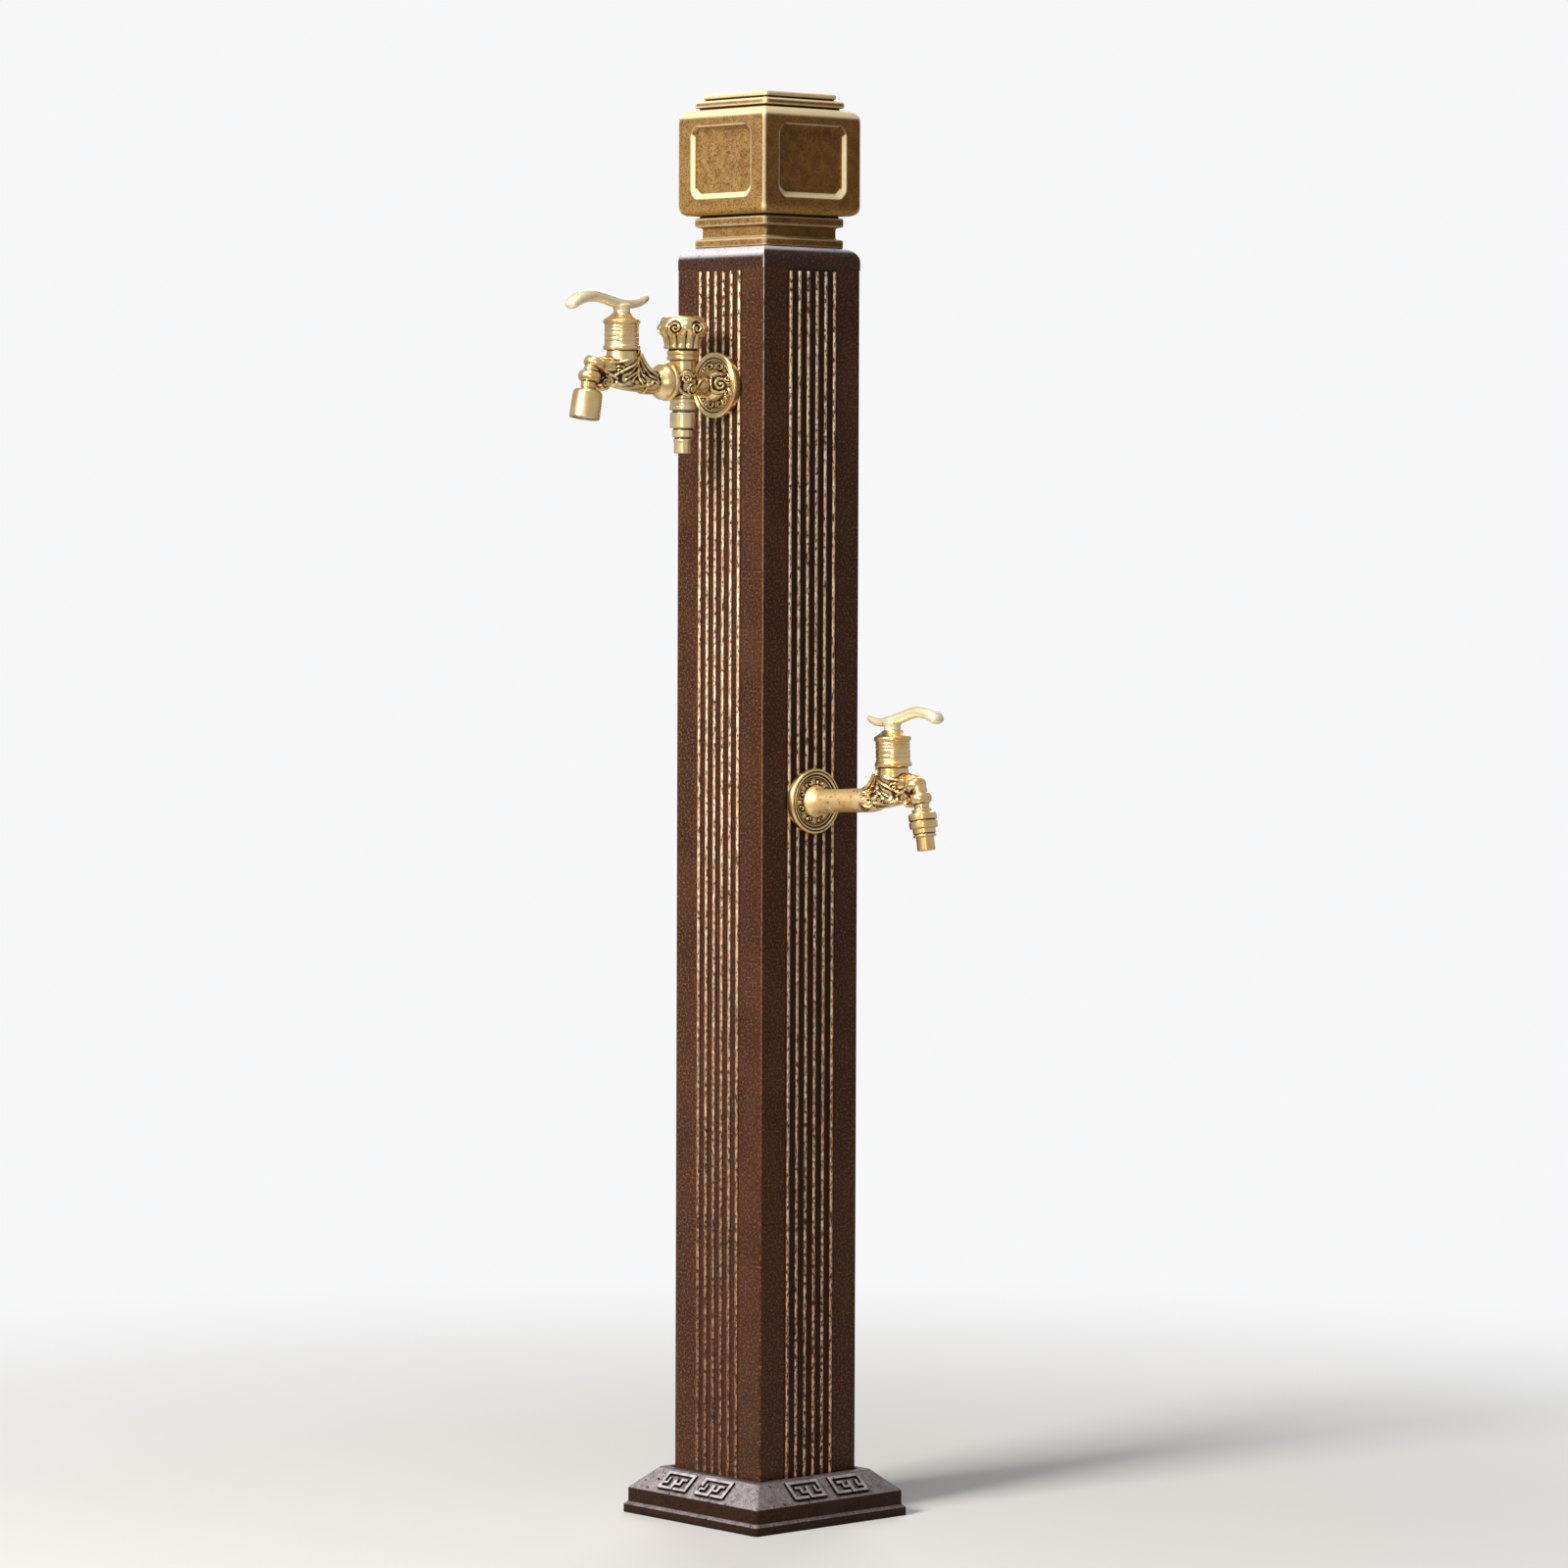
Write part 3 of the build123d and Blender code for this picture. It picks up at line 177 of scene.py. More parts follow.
def tube(points, radii, count=36, flat=1):
    """A bar of changing radius along a line in the x-z plane; flat narrows it sideways."""
    pts = [Vector(p) for p in points]
    side, rings = Vector((0, 1, 0)), []
    for k, point in enumerate(pts):
        over = (pts[min(k + 1, len(pts) - 1)] - pts[max(k - 1, 0)]).normalized().cross(side)
        rings.append([point + float(radii[k]) * (side * cos(a) * flat + over * sin(a)) for a in whole_turn(count)])
    return skin(rings)


def rounded(middle, size):
    """An egg-shaped body about a middle point, with its three half sizes."""
    rings, half = [], 18
    for k in range(1, half):
        x, r = -cos(pi * k / half), sin(pi * k / half)
        rings.append([
            (middle[0] + size[0] * x, middle[1] + size[1] * r * cos(a), middle[2] + size[2] * r * sin(a))
            for a in whole_turn(2 * half)
        ])
    return skin(rings)


def rounded_square(half, radius):
    """The corners of a square with rounded corners, anticlockwise."""
    inner = half - radius
    return [p for k, (x, y) in enumerate(((1, 1), (-1, 1), (-1, -1), (1, -1)))
            for p in arc(x * inner, y * inner, radius, 90 * k, 90 * k + 90, 6)]


def squared(outline, corner, loop=False):
    """An outline of (half side, height) swept round a square with rounded corners."""
    rings = [[(x, y, z) for x, y in rounded_square(half, corner(half))] for half, z in outline]
    return skin(rings, loop)


# Meshes

def linked(name, data):
    """A new object in the scene."""
    made = bpy.data.objects.new(name, data)
    bpy.context.collection.objects.link(made)
    return made


def mesh_of(name, parts):
    """One mesh of several shapes."""
    corners, faces = [], []
    for part_corners, part_faces in parts:
        first = len(corners)
        corners += [tuple(v) for v in part_corners]
        faces += [tuple(first + k for k in face) for face in part_faces]
    mesh = bpy.data.meshes.new(name)
    mesh.from_pydata(corners, [], faces)
    work = bmesh.new()
    work.from_mesh(mesh)
    bmesh.ops.recalc_face_normals(work, faces=work.faces)
    work.to_mesh(mesh)
    work.free()
    mesh.update()
    return mesh


def applied(mesh, *modifiers):
    """The mesh after modifiers, each a kind and its settings."""
    carrier = linked(mesh.name, mesh)
    for kind, settings in modifiers:
        modifier = carrier.modifiers.new(kind.lower(), kind)
        for key, value in settings.items():
            setattr(modifier, key, value)
    graph = bpy.context.evaluated_depsgraph_get()
    result = bpy.data.meshes.new_from_object(carrier.evaluated_get(graph))
    bpy.data.objects.remove(carrier)
    return result


def main_shell(mesh):
    """The mesh without the loose crumbs that melting can leave."""
    work = bmesh.new()
    work.from_mesh(mesh)
    left, shells = set(work.verts), []
    while left:
        shell = [left.pop()]
        for corner in shell:
            for edge in corner.link_edges:
                other = edge.other_vert(corner)
                if other in left:
                    left.remove(other)
                    shell.append(other)
        shells.append(shell)
    shells.sort(key=len)
    bmesh.ops.delete(work, geom=[corner for shell in shells[:-1] for corner in shell], context="VERTS")
    work.to_mesh(mesh)
    work.free()
    return mesh


def melted(name, parts, voxel, rounds=4):
    """Overlapping shapes melted into one skin with eased corners, as a casting is."""
    return main_shell(applied(
        mesh_of(name, parts),
        ("REMESH", {"mode": "VOXEL", "voxel_size": voxel}),
        ("SMOOTH", {"factor": 0.5, "iterations": rounds}),
    ))


def surface(mesh):
    """The places of the corners and their normals, as two arrays of rows."""
    found = []
    for items, name in ((mesh.vertices, "co"), (mesh.vertex_normals, "vector")):
        rows = np.empty(len(items) * 3)
        items.foreach_get(name, rows)
        found.append(rows.reshape(-1, 3))
    return found


def move_corners(mesh, places):
    mesh.vertices.foreach_set("co", places.reshape(-1))
    mesh.update()


def note_hollows(mesh, rounds):
    """Stores on each corner how far it lies below the eased surface, in millimetres."""
    count = len(mesh.vertices)
    edges = np.empty(len(mesh.edges) * 2, dtype=np.int64)
    mesh.edges.foreach_get("vertices", edges)
    a, b = edges.reshape(-1, 2).T
    degree = np.maximum(np.bincount(a, minlength=count) + np.bincount(b, minlength=count), 1)
    places, normals = surface(mesh)
    eased = places.copy()
    for _ in range(rounds):
        total = [np.bincount(a, row[b], minlength=count) + np.bincount(b, row[a], minlength=count) for row in eased.T]
        eased += 0.6 * (np.array(total).T / degree[:, None] - eased)
    depth = np.einsum("ij,ij->i", eased - places, normals)
    store = mesh.attributes.new("hollow", "FLOAT", "POINT")
    store.data.foreach_set("value", depth.astype(np.float32))


def ramp(over, width):
    """0 up to a start, then rising to 1 over a width."""
    return np.clip(over / width, 0, 1)


def bumps(places, lines):
    """The highest of some ridges at places (x, z). Each is a line of points, a width and a height."""
    highest = np.zeros(len(places))
    for line, width, height in lines:
        nearest = np.full(len(places), 1e9)
        for a, b in zip(line, line[1:]):
            a, b = np.array(a), np.array(b)
            span = b - a
            share = ramp((places - a) @ span, max(span @ span, 1e-9))
            nearest = np.minimum(nearest, np.linalg.norm(places - a - share[:, None] * span, axis=1))
        highest = np.maximum(highest, height * np.exp(-(nearest / width) ** 2))
    return highest


def spiral(x, z, inner, outer, turns, start=0, hand=1):
    """The line of a scroll about a point."""
    count = int(turns * 14)
    out = []
    for k in range(count + 1):
        s = k / count
        a = radians(start) + hand * 2 * pi * turns * s
        radius = inner + (outer - inner) * s
        out.append((x + radius * cos(a), z + radius * sin(a)))
    return out


def piece(name, mesh, place, node, material=None, body="root", slot="antique_brass", rounds=0, sharp=None):
    """Puts a mesh in its place, on its body, for the node that it stands for."""
    if rounds:
        note_hollows(mesh, rounds)
    mesh.transform(place.matrix())
    mesh.polygons.foreach_set("use_smooth", [True] * len(mesh.polygons))
    if sharp:
        mesh.set_sharp_from_angle(angle=radians(sharp))
    mesh.update()
    mesh.materials.append(material or FINISHES[slot])
    made = linked(name, mesh)
    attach(made, body)
    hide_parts(node)


# Materials

class Nodes:
    """The nodes of a material or a world, with helpers to add to them."""

    def __init__(self, owner):
        owner.use_nodes = True
        self.owner, self.tree = owner, owner.node_tree

    def put(self, socket, value):
        """Gives a socket a value or another socket's output. A colour has three parts."""
        if isinstance(value, bpy.types.NodeSocket):
            self.tree.links.new(value, socket)
        else:
            socket.default_value = (*value, 1) if socket.type == "RGBA" else value

    def add(self, kind, inputs=None, **settings):
        node = self.tree.nodes.new(kind)
        for key, value in settings.items():
            setattr(node, key, value)
        for key, value in (inputs or {}).items():
            self.put(node.inputs[key], value)
        return node

    def math(self, operation, first, *others):
        for other in others:
            first = self.add("ShaderNodeMath", {0: first, 1: other}, operation=operation).outputs[0]
        return first

    def times(self, *values):
        return self.math("MULTIPLY", *values)

    def most(self, *values):
        return self.math("MAXIMUM", *values)


class Finish(Nodes):
    """A surface's material, with helpers for its textures."""

    def __init__(self, name, **values):
        super().__init__(bpy.data.materials.new(name))
        self.shader = self.tree.nodes["Principled BSDF"]
        for key, value in values.items():
            self.into(key.replace("_", " "), value)
        self.where = self.add("ShaderNodeTexCoord").outputs["Object"]

    def noise(self, scale, detail, stretch=(1, 1, 1), rough=0.5):
        spread = self.add("ShaderNodeVectorMath", {0: self.where, 1: stretch}, operation="MULTIPLY").outputs[0]
        return self.add("ShaderNodeTexNoise", {
            "Vector": spread, "Scale": scale, "Detail": detail, "Roughness": rough,
        }).outputs["Fac"]

    def grade(self, value, low, high, out_low=0, out_high=1):
        """The value's range from low to high, eased, as another range."""
        return self.add("ShaderNodeMapRange", {
            "Value": value, "From Min": low, "From Max": high, "To Min": out_low, "To Max": out_high,
        }, interpolation_type="SMOOTHSTEP").outputs[0]

    def blend(self, share, a, b):
        return self.add("ShaderNodeMix", {0: share, 6: a, 7: b}, data_type="RGBA").outputs[2]

    def depth(self):
        """How far the skin lies below its surroundings, in millimetres."""
        return self.add("ShaderNodeAttribute", attribute_name="hollow").outputs["Fac"]

    def crevice(self, reach, open_share, shut_share):
        """0 on open skin and 1 in corners and grooves, within reach of other skin."""
        shade = self.add("ShaderNodeAmbientOcclusion", {"Distance": reach}, samples=8).outputs["AO"]
        return self.grade(shade, open_share, shut_share)

    def facing(self, direction):
        """How squarely the skin faces a direction, from -1 to 1."""
        normal = self.add("ShaderNodeNewGeometry").outputs["Normal"]
        towards = tuple(Vector(direction).normalized())
        return self.add("ShaderNodeVectorMath", {0: normal, 1: towards}, operation="DOT_PRODUCT").outputs["Value"]

    def lower_tap_side(self, out_low=0, out_high=1):
        """One value all round and another on the side that faces the lower tap."""
        return self.grade(self.facing((1, 0, 0)), 0.3, 0.8, out_low, out_high)

    def square_place(self):
        """The larger and the smaller distance from the post's middle planes, and the height, in metres."""
        x, y, height = self.add("ShaderNodeSeparateXYZ", {0: self.where}).outputs
        x, y = self.math("ABSOLUTE", x, 0), self.math("ABSOLUTE", y, 0)
        return self.most(x, y), self.math("MINIMUM", x, y), height

    def into(self, name, value):
        self.put(self.shader.inputs[name], value)

    def done(self, colour, rough, height, deep):
        """The material with its colour and roughness, and with a relief so many metres deep."""
        self.into("Base Color", colour)
        self.into("Roughness", rough)
        self.into("Normal", self.add("ShaderNodeBump", {"Height": height, "Distance": deep}).outputs["Normal"])
        return self.owner


BRIGHT_BRASS, WARM_BRASS, PATINA = (0.97, 0.71, 0.34), (0.88, 0.54, 0.18), (0.04, 0.019, 0.008)


def antique_brass(name, rough, grain, patina, metallic=1, bright=BRIGHT_BRASS, warm=WARM_BRASS):
    """Polished and lacquered brass with dark patina in its hollows."""
    look = Finish(name, Metallic=metallic, Coat_Weight=0.6, Coat_Roughness=0.2)
    metal = look.blend(look.grade(look.noise(60, 3), 0.42, 0.72), bright, warm)
    spots = look.grade(look.noise(420, 3), 0.56, 0.72, 0, 0.5)
    hollow = look.most(look.grade(look.depth(), 0.05, patina), look.crevice(0.0024, 0.84, 0.52))
    stain = look.most(hollow, look.times(spots, grain))
    worn = look.grade(look.noise(70, 3), 0.3, 0.75, rough, rough + 0.06)
    matt = look.math("ADD", worn, look.times(hollow, 0.3))
    return look.done(look.blend(stain, metal, PATINA), matt, look.noise(600, 2), 0.00012 * grain)


def cap_bronze():
    """Antique bronze over a sand-cast skin, rubbed bright on its edges, with painted light and shade: a darker side
    towards the lower tap, painted highlights on its tops and its panels' bevels, a painted glow under the block and
    painted shade in its grooves.
    """
    # Where the block and its panels' bevels begin and end, in metres; foot_fades is where the rubbed edges and the
    # painted top light fade in, block_underside where the painted bounce glow fades out
    foot_fades, block_starts, block_underside = (1.0020, 1.0080), (1.0060, 1.0068), (1.0150, 1.0085)
    panel_floor, block_face, panel_side = (0.04745, 0.048), (0.05015, 0.04995), (0.0415, 0.0405)
    panel_low, panel_high = (1.0135, 1.0150), (1.0800, 1.0785)
    look = Finish("cap_bronze", Metallic=0.18, Specular_IOR_Level=0.12)
    sand = look.noise(760, 4, rough=0.62)
    cloud = look.grade(look.noise(110, 4), 0.35, 0.7)
    out, across, height = look.square_place()
    # Painted light and shade: a lit copy of the skin colour, and a darker, shaded copy on the side that faces the
    # lower tap
    lit_side_colour = look.blend(cloud, (0.36, 0.215, 0.078), (0.255, 0.138, 0.042))
    shaded_side_colour = look.blend(cloud, (0.28, 0.13, 0.028), (0.19, 0.08, 0.014))
    painted_lit_and_shaded_skin = look.blend(look.lower_tap_side(), lit_side_colour, shaded_side_colour)
    # Painted bounce light: a golden glow on the block's lower rounding, all round
    painted_bounce_glow = look.times(look.grade(height, *block_underside, 0, 0.75), look.grade(height, *block_starts))
    painted_lit_and_shaded_skin = look.blend(painted_bounce_glow, painted_lit_and_shaded_skin, (0.52, 0.3, 0.06))
    pits = look.blend(look.grade(sand, 0.36, 0.56, 1, 0), painted_lit_and_shaded_skin, (0.105, 0.048, 0.014))
    depth, up = look.depth(), look.facing((0, 0, 1))
    edge = look.times(look.grade(depth, -0.1, -0.4), look.grade(sand, 0.26, 0.42),
                      look.grade(height, *foot_fades, 0.4, 1))
    # Painted shade: darker in grooves and corners, by their depth and by ambient occlusion
    painted_groove_shade = look.most(look.grade(depth, 0.15, 0.5), look.crevice(0.003, 0.66, 0.38))
    # Painted highlight on the panels' bevels, left off the bevels that face down
    framed = look.times(look.grade(height, *panel_low), look.grade(height, *panel_high))
    bevel = look.times(look.grade(out, *panel_floor), look.grade(out, *block_face), framed,
                       look.grade(across, *panel_side), look.grade(up, -0.35, -0.1))
    # Painted light from above: the upward-facing skin paler, less so on the foot
    crown = look.times(look.grade(up, 0.06, 0.4), look.grade(sand, 0.22, 0.36),
                       look.grade(height, *foot_fades, 0.55, 1))
    # Rubbed edges together with the painted highlights on the bevels and the tops, in pale gold
    rubbed_and_highlit = look.blend(look.most(edge, bevel, crown), pits, (0.9, 0.74, 0.44))
    colour = look.blend(painted_groove_shade, rubbed_and_highlit, (0.05, 0.022, 0.007))
    return look.done(colour, look.grade(sand, 0.3, 0.7, 0.36, 0.58), sand, 0.0011)


def speckle(look, dark, light, strength=1):
    """A powder coat's grain and its colour, with fine light and dark specks."""
    grain = look.noise(560, 2, rough=0.6)
    base = look.blend(look.grade(look.noise(28, 4), 0.3, 0.75), dark, light)
    glints, pores = tuple(3.2 * c for c in light), tuple(0.35 * c for c in dark)
    lit = look.blend(look.grade(grain, 0.5, 0.68, 0, 0.75 * strength), base, glints)
    return grain, look.blend(look.grade(grain, 0.48, 0.3, 0, 0.7 * strength), lit, pores)


def post_paint():
    """Dark brown powder coat, with the ribs' crests rubbed coppery and painted brighter on the side that faces the
    lower tap, dirt and painted shade between them, and the corner roundings worn and painted with a highlight.
    """
    # Where the ribs' crests, the ribbed strip, its gutters and the corners begin and end, in metres
    crests, strip, gutters, corners = (0.0506, 0.05096), (0.0262, 0.0248), (0.0504, 0.05), (0.04905, 0.0495)
    look = Finish("post_paint", Specular_IOR_Level=0.16)
    grain, paint = speckle(look, (0.038, 0.0144, 0.006), (0.063, 0.024, 0.0102))
    out, across, height = look.square_place()
    scratch = look.grade(look.noise(640, 3, (1, 1, 0.5)), 0.36, 0.52)
    flake = look.grade(look.noise(260, 4, (1, 1, 0.5)), 0.28, 0.44)
    risen = look.grade(height, 0.02, 0.62, 0.3, 1)
    # The crests are rubbed more higher up, and on the side that faces the lower tap nearly all the way down, as a
    # painted highlight
    share = look.most(risen, look.lower_tap_side(0, 0.9))
    dotted = look.grade(look.noise(430, 2, (1, 1, 0.7)), 0.38, 0.52)
    whole = look.most(dotted, look.grade(height, 0.15, 0.6))
    rubbed_and_highlit = look.times(look.grade(out, *crests), share, scratch, flake, whole)
    cream = look.blend(look.grade(look.noise(130, 3), 0.38, 0.62), (0.96, 0.74, 0.5), (0.72, 0.43, 0.25))
    # Painted highlight: the low crests' copper paler on the side that faces the lower tap
    low_copper_with_painted_side_highlight = look.blend(look.lower_tap_side(), (0.37, 0.17, 0.085), (0.78, 0.37, 0.175))
    copper = look.blend(risen, low_copper_with_painted_side_highlight, cream)
    # Dirt and painted shade in the gutters between the ribs, the shade deeper on the side that faces the lower tap
    ribbed = look.times(look.grade(across, *strip), look.grade(out, *gutters))
    gutter_dirt_and_shade = look.blend(look.times(ribbed, look.lower_tap_side(0.3, 0.88)), paint, (0.012, 0.006, 0.004))
    patchy = look.grade(look.noise(300, 3, (1, 1, 0.4)), 0.3, 0.52, 0.1, 0.8)
    # The corner roundings paler and patchy, whitest near the top: worn paint and a painted highlight
    corner = look.times(look.grade(across, *corners), look.grade(height, 0.1, 0.6), patchy)
    corner_wear_and_highlight_colour = look.blend(look.grade(height, 0.8, 0.95), (0.42, 0.25, 0.16), (0.66, 0.58, 0.6))
    worn = look.blend(corner, gutter_dirt_and_shade, corner_wear_and_highlight_colour)
    specks = look.times(look.grade(look.noise(480, 2), 0.7, 0.75), look.grade(height, 0.45, 0.08, 0, 0.6))
    worn = look.blend(specks, worn, (0.42, 0.33, 0.3))
    look.into("Metallic", look.times(rubbed_and_highlit, 0.25))
    rough = look.grade(grain, 0.3, 0.7, 0.38, 0.6)
    return look.done(look.blend(rubbed_and_highlit, worn, copper), rough, grain, 0.00022)


def shoulder_paint():
    """The shoulder's brown coat, with a painted pale highlight on its top and its left-facing rounding, and worn
    corners.
    """
    corners = (0.0488, 0.0496)
    look = Finish("shoulder_paint", Specular_IOR_Level=0.2)
    grain, paint = speckle(look, (0.026, 0.0112, 0.0068), (0.042, 0.018, 0.011))
    worn = look.grade(look.noise(420, 4), 0.26, 0.44, 0.4, 1)
    # Painted highlights: on the rounding that faces left and up, and on the top, patchy
    left = look.grade(look.facing((-0.35, -0.55, 0.75)), 0.66, 0.9)
    rim = look.grade(look.facing((0, 0, 1)), 0.6, 0.86, 0, 0.9)
    painted_highlight = look.times(look.most(left, rim), worn)
    _, across, _ = look.square_place()
    coat = look.blend(look.grade(across, *corners, 0, 0.8), paint, (0.66, 0.6, 0.62))
    rough = look.grade(look.noise(500, 4), 0.3, 0.7, 0.24, 0.4)
    return look.done(look.blend(painted_highlight, coat, (0.62, 0.59, 0.65)), rough, grain, 0.00018)


def plinth_paint():
    """The plinth's coat: brown on its uprights, a patchy silvery sky reflection painted on its slopes, painted
    highlights on the keys' tops, and painted shade and dark chips round the keys.
    """
    # The slope's square direction outwards and upwards, and where the keys' tops stand along it
    out_share, up_share, key_tops = 0.6556, 0.7552, (0.0659, 0.0664)
    look = Finish("plinth_paint", Specular_IOR_Level=0.1)
    grain, paint = speckle(look, (0.02, 0.0074, 0.0034), (0.03, 0.0112, 0.0052), 0.4)
    out, _, height = look.square_place()
    above = look.math("ADD", look.times(out, out_share), look.times(height, up_share))
    # Painted highlight on the keys' tops
    painted_key_top_highlight = look.times(look.grade(above, *key_tops, 0, 0.75), look.grade(height, 0.02, 0.022))
    # Painted reflection: a silvery sky sheen on the upward-facing slopes and lip, dimmer on the side that faces the
    # lower tap
    painted_sky_sheen = look.times(
        look.grade(look.facing((0, 0, 1)), 0.35, 0.65), look.grade(height, 0.01, 0.019, 0.75, 1),
        look.grade(look.noise(160, 5, rough=0.65), 0.26, 0.62, 0.45, 0.95),
        look.grade(height, 0.0365, 0.0345), look.grade(look.facing((1, 0, 0)), 0.25, 0.6, 1, 0.58),
    )
    mottle = look.grade(look.noise(950, 4, rough=0.75), 0.34, 0.62)
    painted_sheen_colour = look.blend(mottle, (0.16, 0.136, 0.142), (0.5, 0.45, 0.475))
    painted_sheen_colour = look.blend(painted_key_top_highlight, painted_sheen_colour, (0.78, 0.72, 0.75))
    # Painted shade in the crevices round the keys, by ambient occlusion, and dark chips
    crevice_shade_and_chips = look.most(look.crevice(0.005, 0.93, 0.68), look.grade(look.noise(170, 2), 0.66, 0.7))
    colour = look.blend(crevice_shade_and_chips, look.blend(painted_sky_sheen, paint, painted_sheen_colour), (0.012, 0.007, 0.005))
    rough = look.grade(look.noise(420, 4), 0.3, 0.7, 0.26, 0.46)
    return look.done(colour, rough, look.noise(700, 4, rough=0.7), 0.0004)


def hidden(name, colour, rough, marks=0):
    """A hidden fitting: metal with turning marks of a scale, or without a scale a seal, disc or insert."""
    look = Finish(name, Metallic=1 if marks else 0)
    grain = look.noise(marks, 3, (1, 1, 8)) if marks else look.noise(900, 3)
    dark, spread, deep = (0.72, 0.2, 0.00006) if marks else (0.8, 0.15, 0.00004)
    shade = look.blend(grain, colour, tuple(c * dark for c in colour))
    return look.done(shade, look.grade(grain, 0.2, 0.8, rough, rough + spread), grain, deep)


# By the record's material slots
FINISHES = {
    "post_paint": post_paint(), "shoulder_paint": shoulder_paint(), "plinth_paint": plinth_paint(),
    "cap_bronze": cap_bronze(), "antique_brass": antique_brass("antique_brass", 0.26, 0.04, 0.45),
}
for slot, *values in (
    ("plumbing_brass", (0.72, 0.53, 0.25), 0.25, 300), ("galvanised_steel", (0.55, 0.56, 0.57), 0.4, 120),
    ("stainless_steel", (0.62, 0.61, 0.6), 0.22, 500), ("seal_rubber", (0.02, 0.02, 0.02), 0.6),
    ("disc_ceramic", (0.86, 0.86, 0.82), 0.15), ("insert_plastic", (0.7, 0.7, 0.66), 0.4),
):
    FINISHES[slot] = hidden(slot, *values)

CARVED_BRASS = antique_brass("carved_brass", 0.25, 0.3, 0.19)
MATT_BRASS = antique_brass("matt_brass", 0.42, 1.5, 0.6, 0.72)
# Painted light: a paler, less metallic copy of the brass, so the upper nozzle shows as brightly lit
PAINTED_LIT_NOZZLE_BRASS = antique_brass("painted_lit_nozzle_brass", 0.28, 0.04, 0.45, 0.8, (0.99, 0.8, 0.46), (0.94, 0.67, 0.3))
# Painted light: a paler, less metallic copy of the brass, so the levers show as brightly lit
PAINTED_LIT_LEVER_BRASS = antique_brass("painted_lit_lever_brass", 0.33, 0.03, 0.7, 0.55, (0.99, 0.87, 0.58), (0.97, 0.8, 0.46))

for row in frame["record"]["subparts"]:
    materials = frame["nodes"][row["node"]].data.materials
    materials.clear()
    materials.append(FINISHES[row["material_slot"]])


# Cap

QUARTER_TURNS = [Matrix.Rotation(radians(90 * k), 3, "Z") for k in range(4)]


def cap():
    """The block cap: stepped foot, block with a recessed panel on each side, two tiers on top."""
    lip, neck, step, block, tier, top = 41.1, 37, 41.25, 50.25, 41.55, 37.05
    z_lip, z_neck, z_step, z_block, z_tier = 988.2, 998, 1006.6, 1087.5, 1094.6
    top_edge, low_edge, small, groove, groove_t = 8, 6, 1.2, 3, 1.8
    outline = soften([(lip, COLLAR_TOP), (lip, z_lip), (neck, z_lip + 0.6), (neck, z_neck - 0.6), (step, z_neck),
                      (step, z_step - groove_t), (step - groove, z_step - groove_t), (step - groove, z_step),
                      (block - low_edge, z_step)], small)
    outline += arc(block - low_edge, z_step + low_edge, low_edge, -90, 0)
    outline += arc(block - top_edge, z_block - top_edge, top_edge, 0, 90)
    outline += soften([(tier - groove, z_block), (tier - groove, z_block + groove_t), (tier, z_block + groove_t),
                       (tier, z_tier), (top - groove, z_tier), (top - groove, z_tier + 0.8 * groove_t),
                       (top, z_tier + 0.8 * groove_t), (top, CAP_TOP), (top - 3 * small, CAP_TOP)], 2 * small)
    body = mesh_of("cap_block", [squared(outline, lambda half: 2.4)])
    cutters = []
    panel_w, panel_h, cut, depth, bevel, middle_z = 34.6, 27.6, 5, 3.5, 3.4, 1046.8
    for turn in QUARTER_TURNS:
        rings = []
        for way in (1, -1):
            out, w, h = block + way * depth, panel_w + way * bevel, panel_h + way * bevel
            flat = [(w, h - cut), (w - cut, h), (cut - w, h), (-w, h - cut), (-w, cut - h), (cut - w, -h),
                    (w - cut, -h), (w, cut - h)]
            rings.append([turn @ Vector((out, y, middle_z + z)) for y, z in soften(flat, 1.4, closed=True)])
        cutters.append(skin(rings))
    cutter = linked("cutter", mesh_of("cutter", cutters))
    mesh = applied(
        body,
        ("BOOLEAN", {"operation": "DIFFERENCE", "object": cutter, "solver": "EXACT"}),
        ("REMESH", {"mode": "VOXEL", "voxel_size": 0.7}),
        ("SMOOTH", {"factor": 0.5, "iterations": 2}),
    )
    bpy.data.objects.remove(cutter)
    piece("cap_casting", mesh, WORLD, "cap", slot="cap_bronze", rounds=14)


# Plinth cover

# Raised strokes of one key block, as shares of its width and height: low corner, then high corner
KEY_STROKES = (
    (0, 0, 0.1, 1), (0.1, 0.84, 1, 1), (0.9, 0, 1, 0.84), (0.1, 0, 0.46, 0.15),
    (0.6, 0, 0.9, 0.15), (0.5, 0, 0.6, 0.66), (0.31, 0.29, 0.5, 0.42), (0.31, 0.42, 0.39, 0.7),
    (0.18, 0.56, 0.31, 0.7), (0.75, 0.29, 0.9, 0.42), (0.75, 0.42, 0.82, 0.66),
)
KEY_WIDTH, KEY_HEIGHT, KEY_PITCH, KEY_SHIFT, KEY_RELIEF = 33, 17.5, 43.5, 4, 1.5


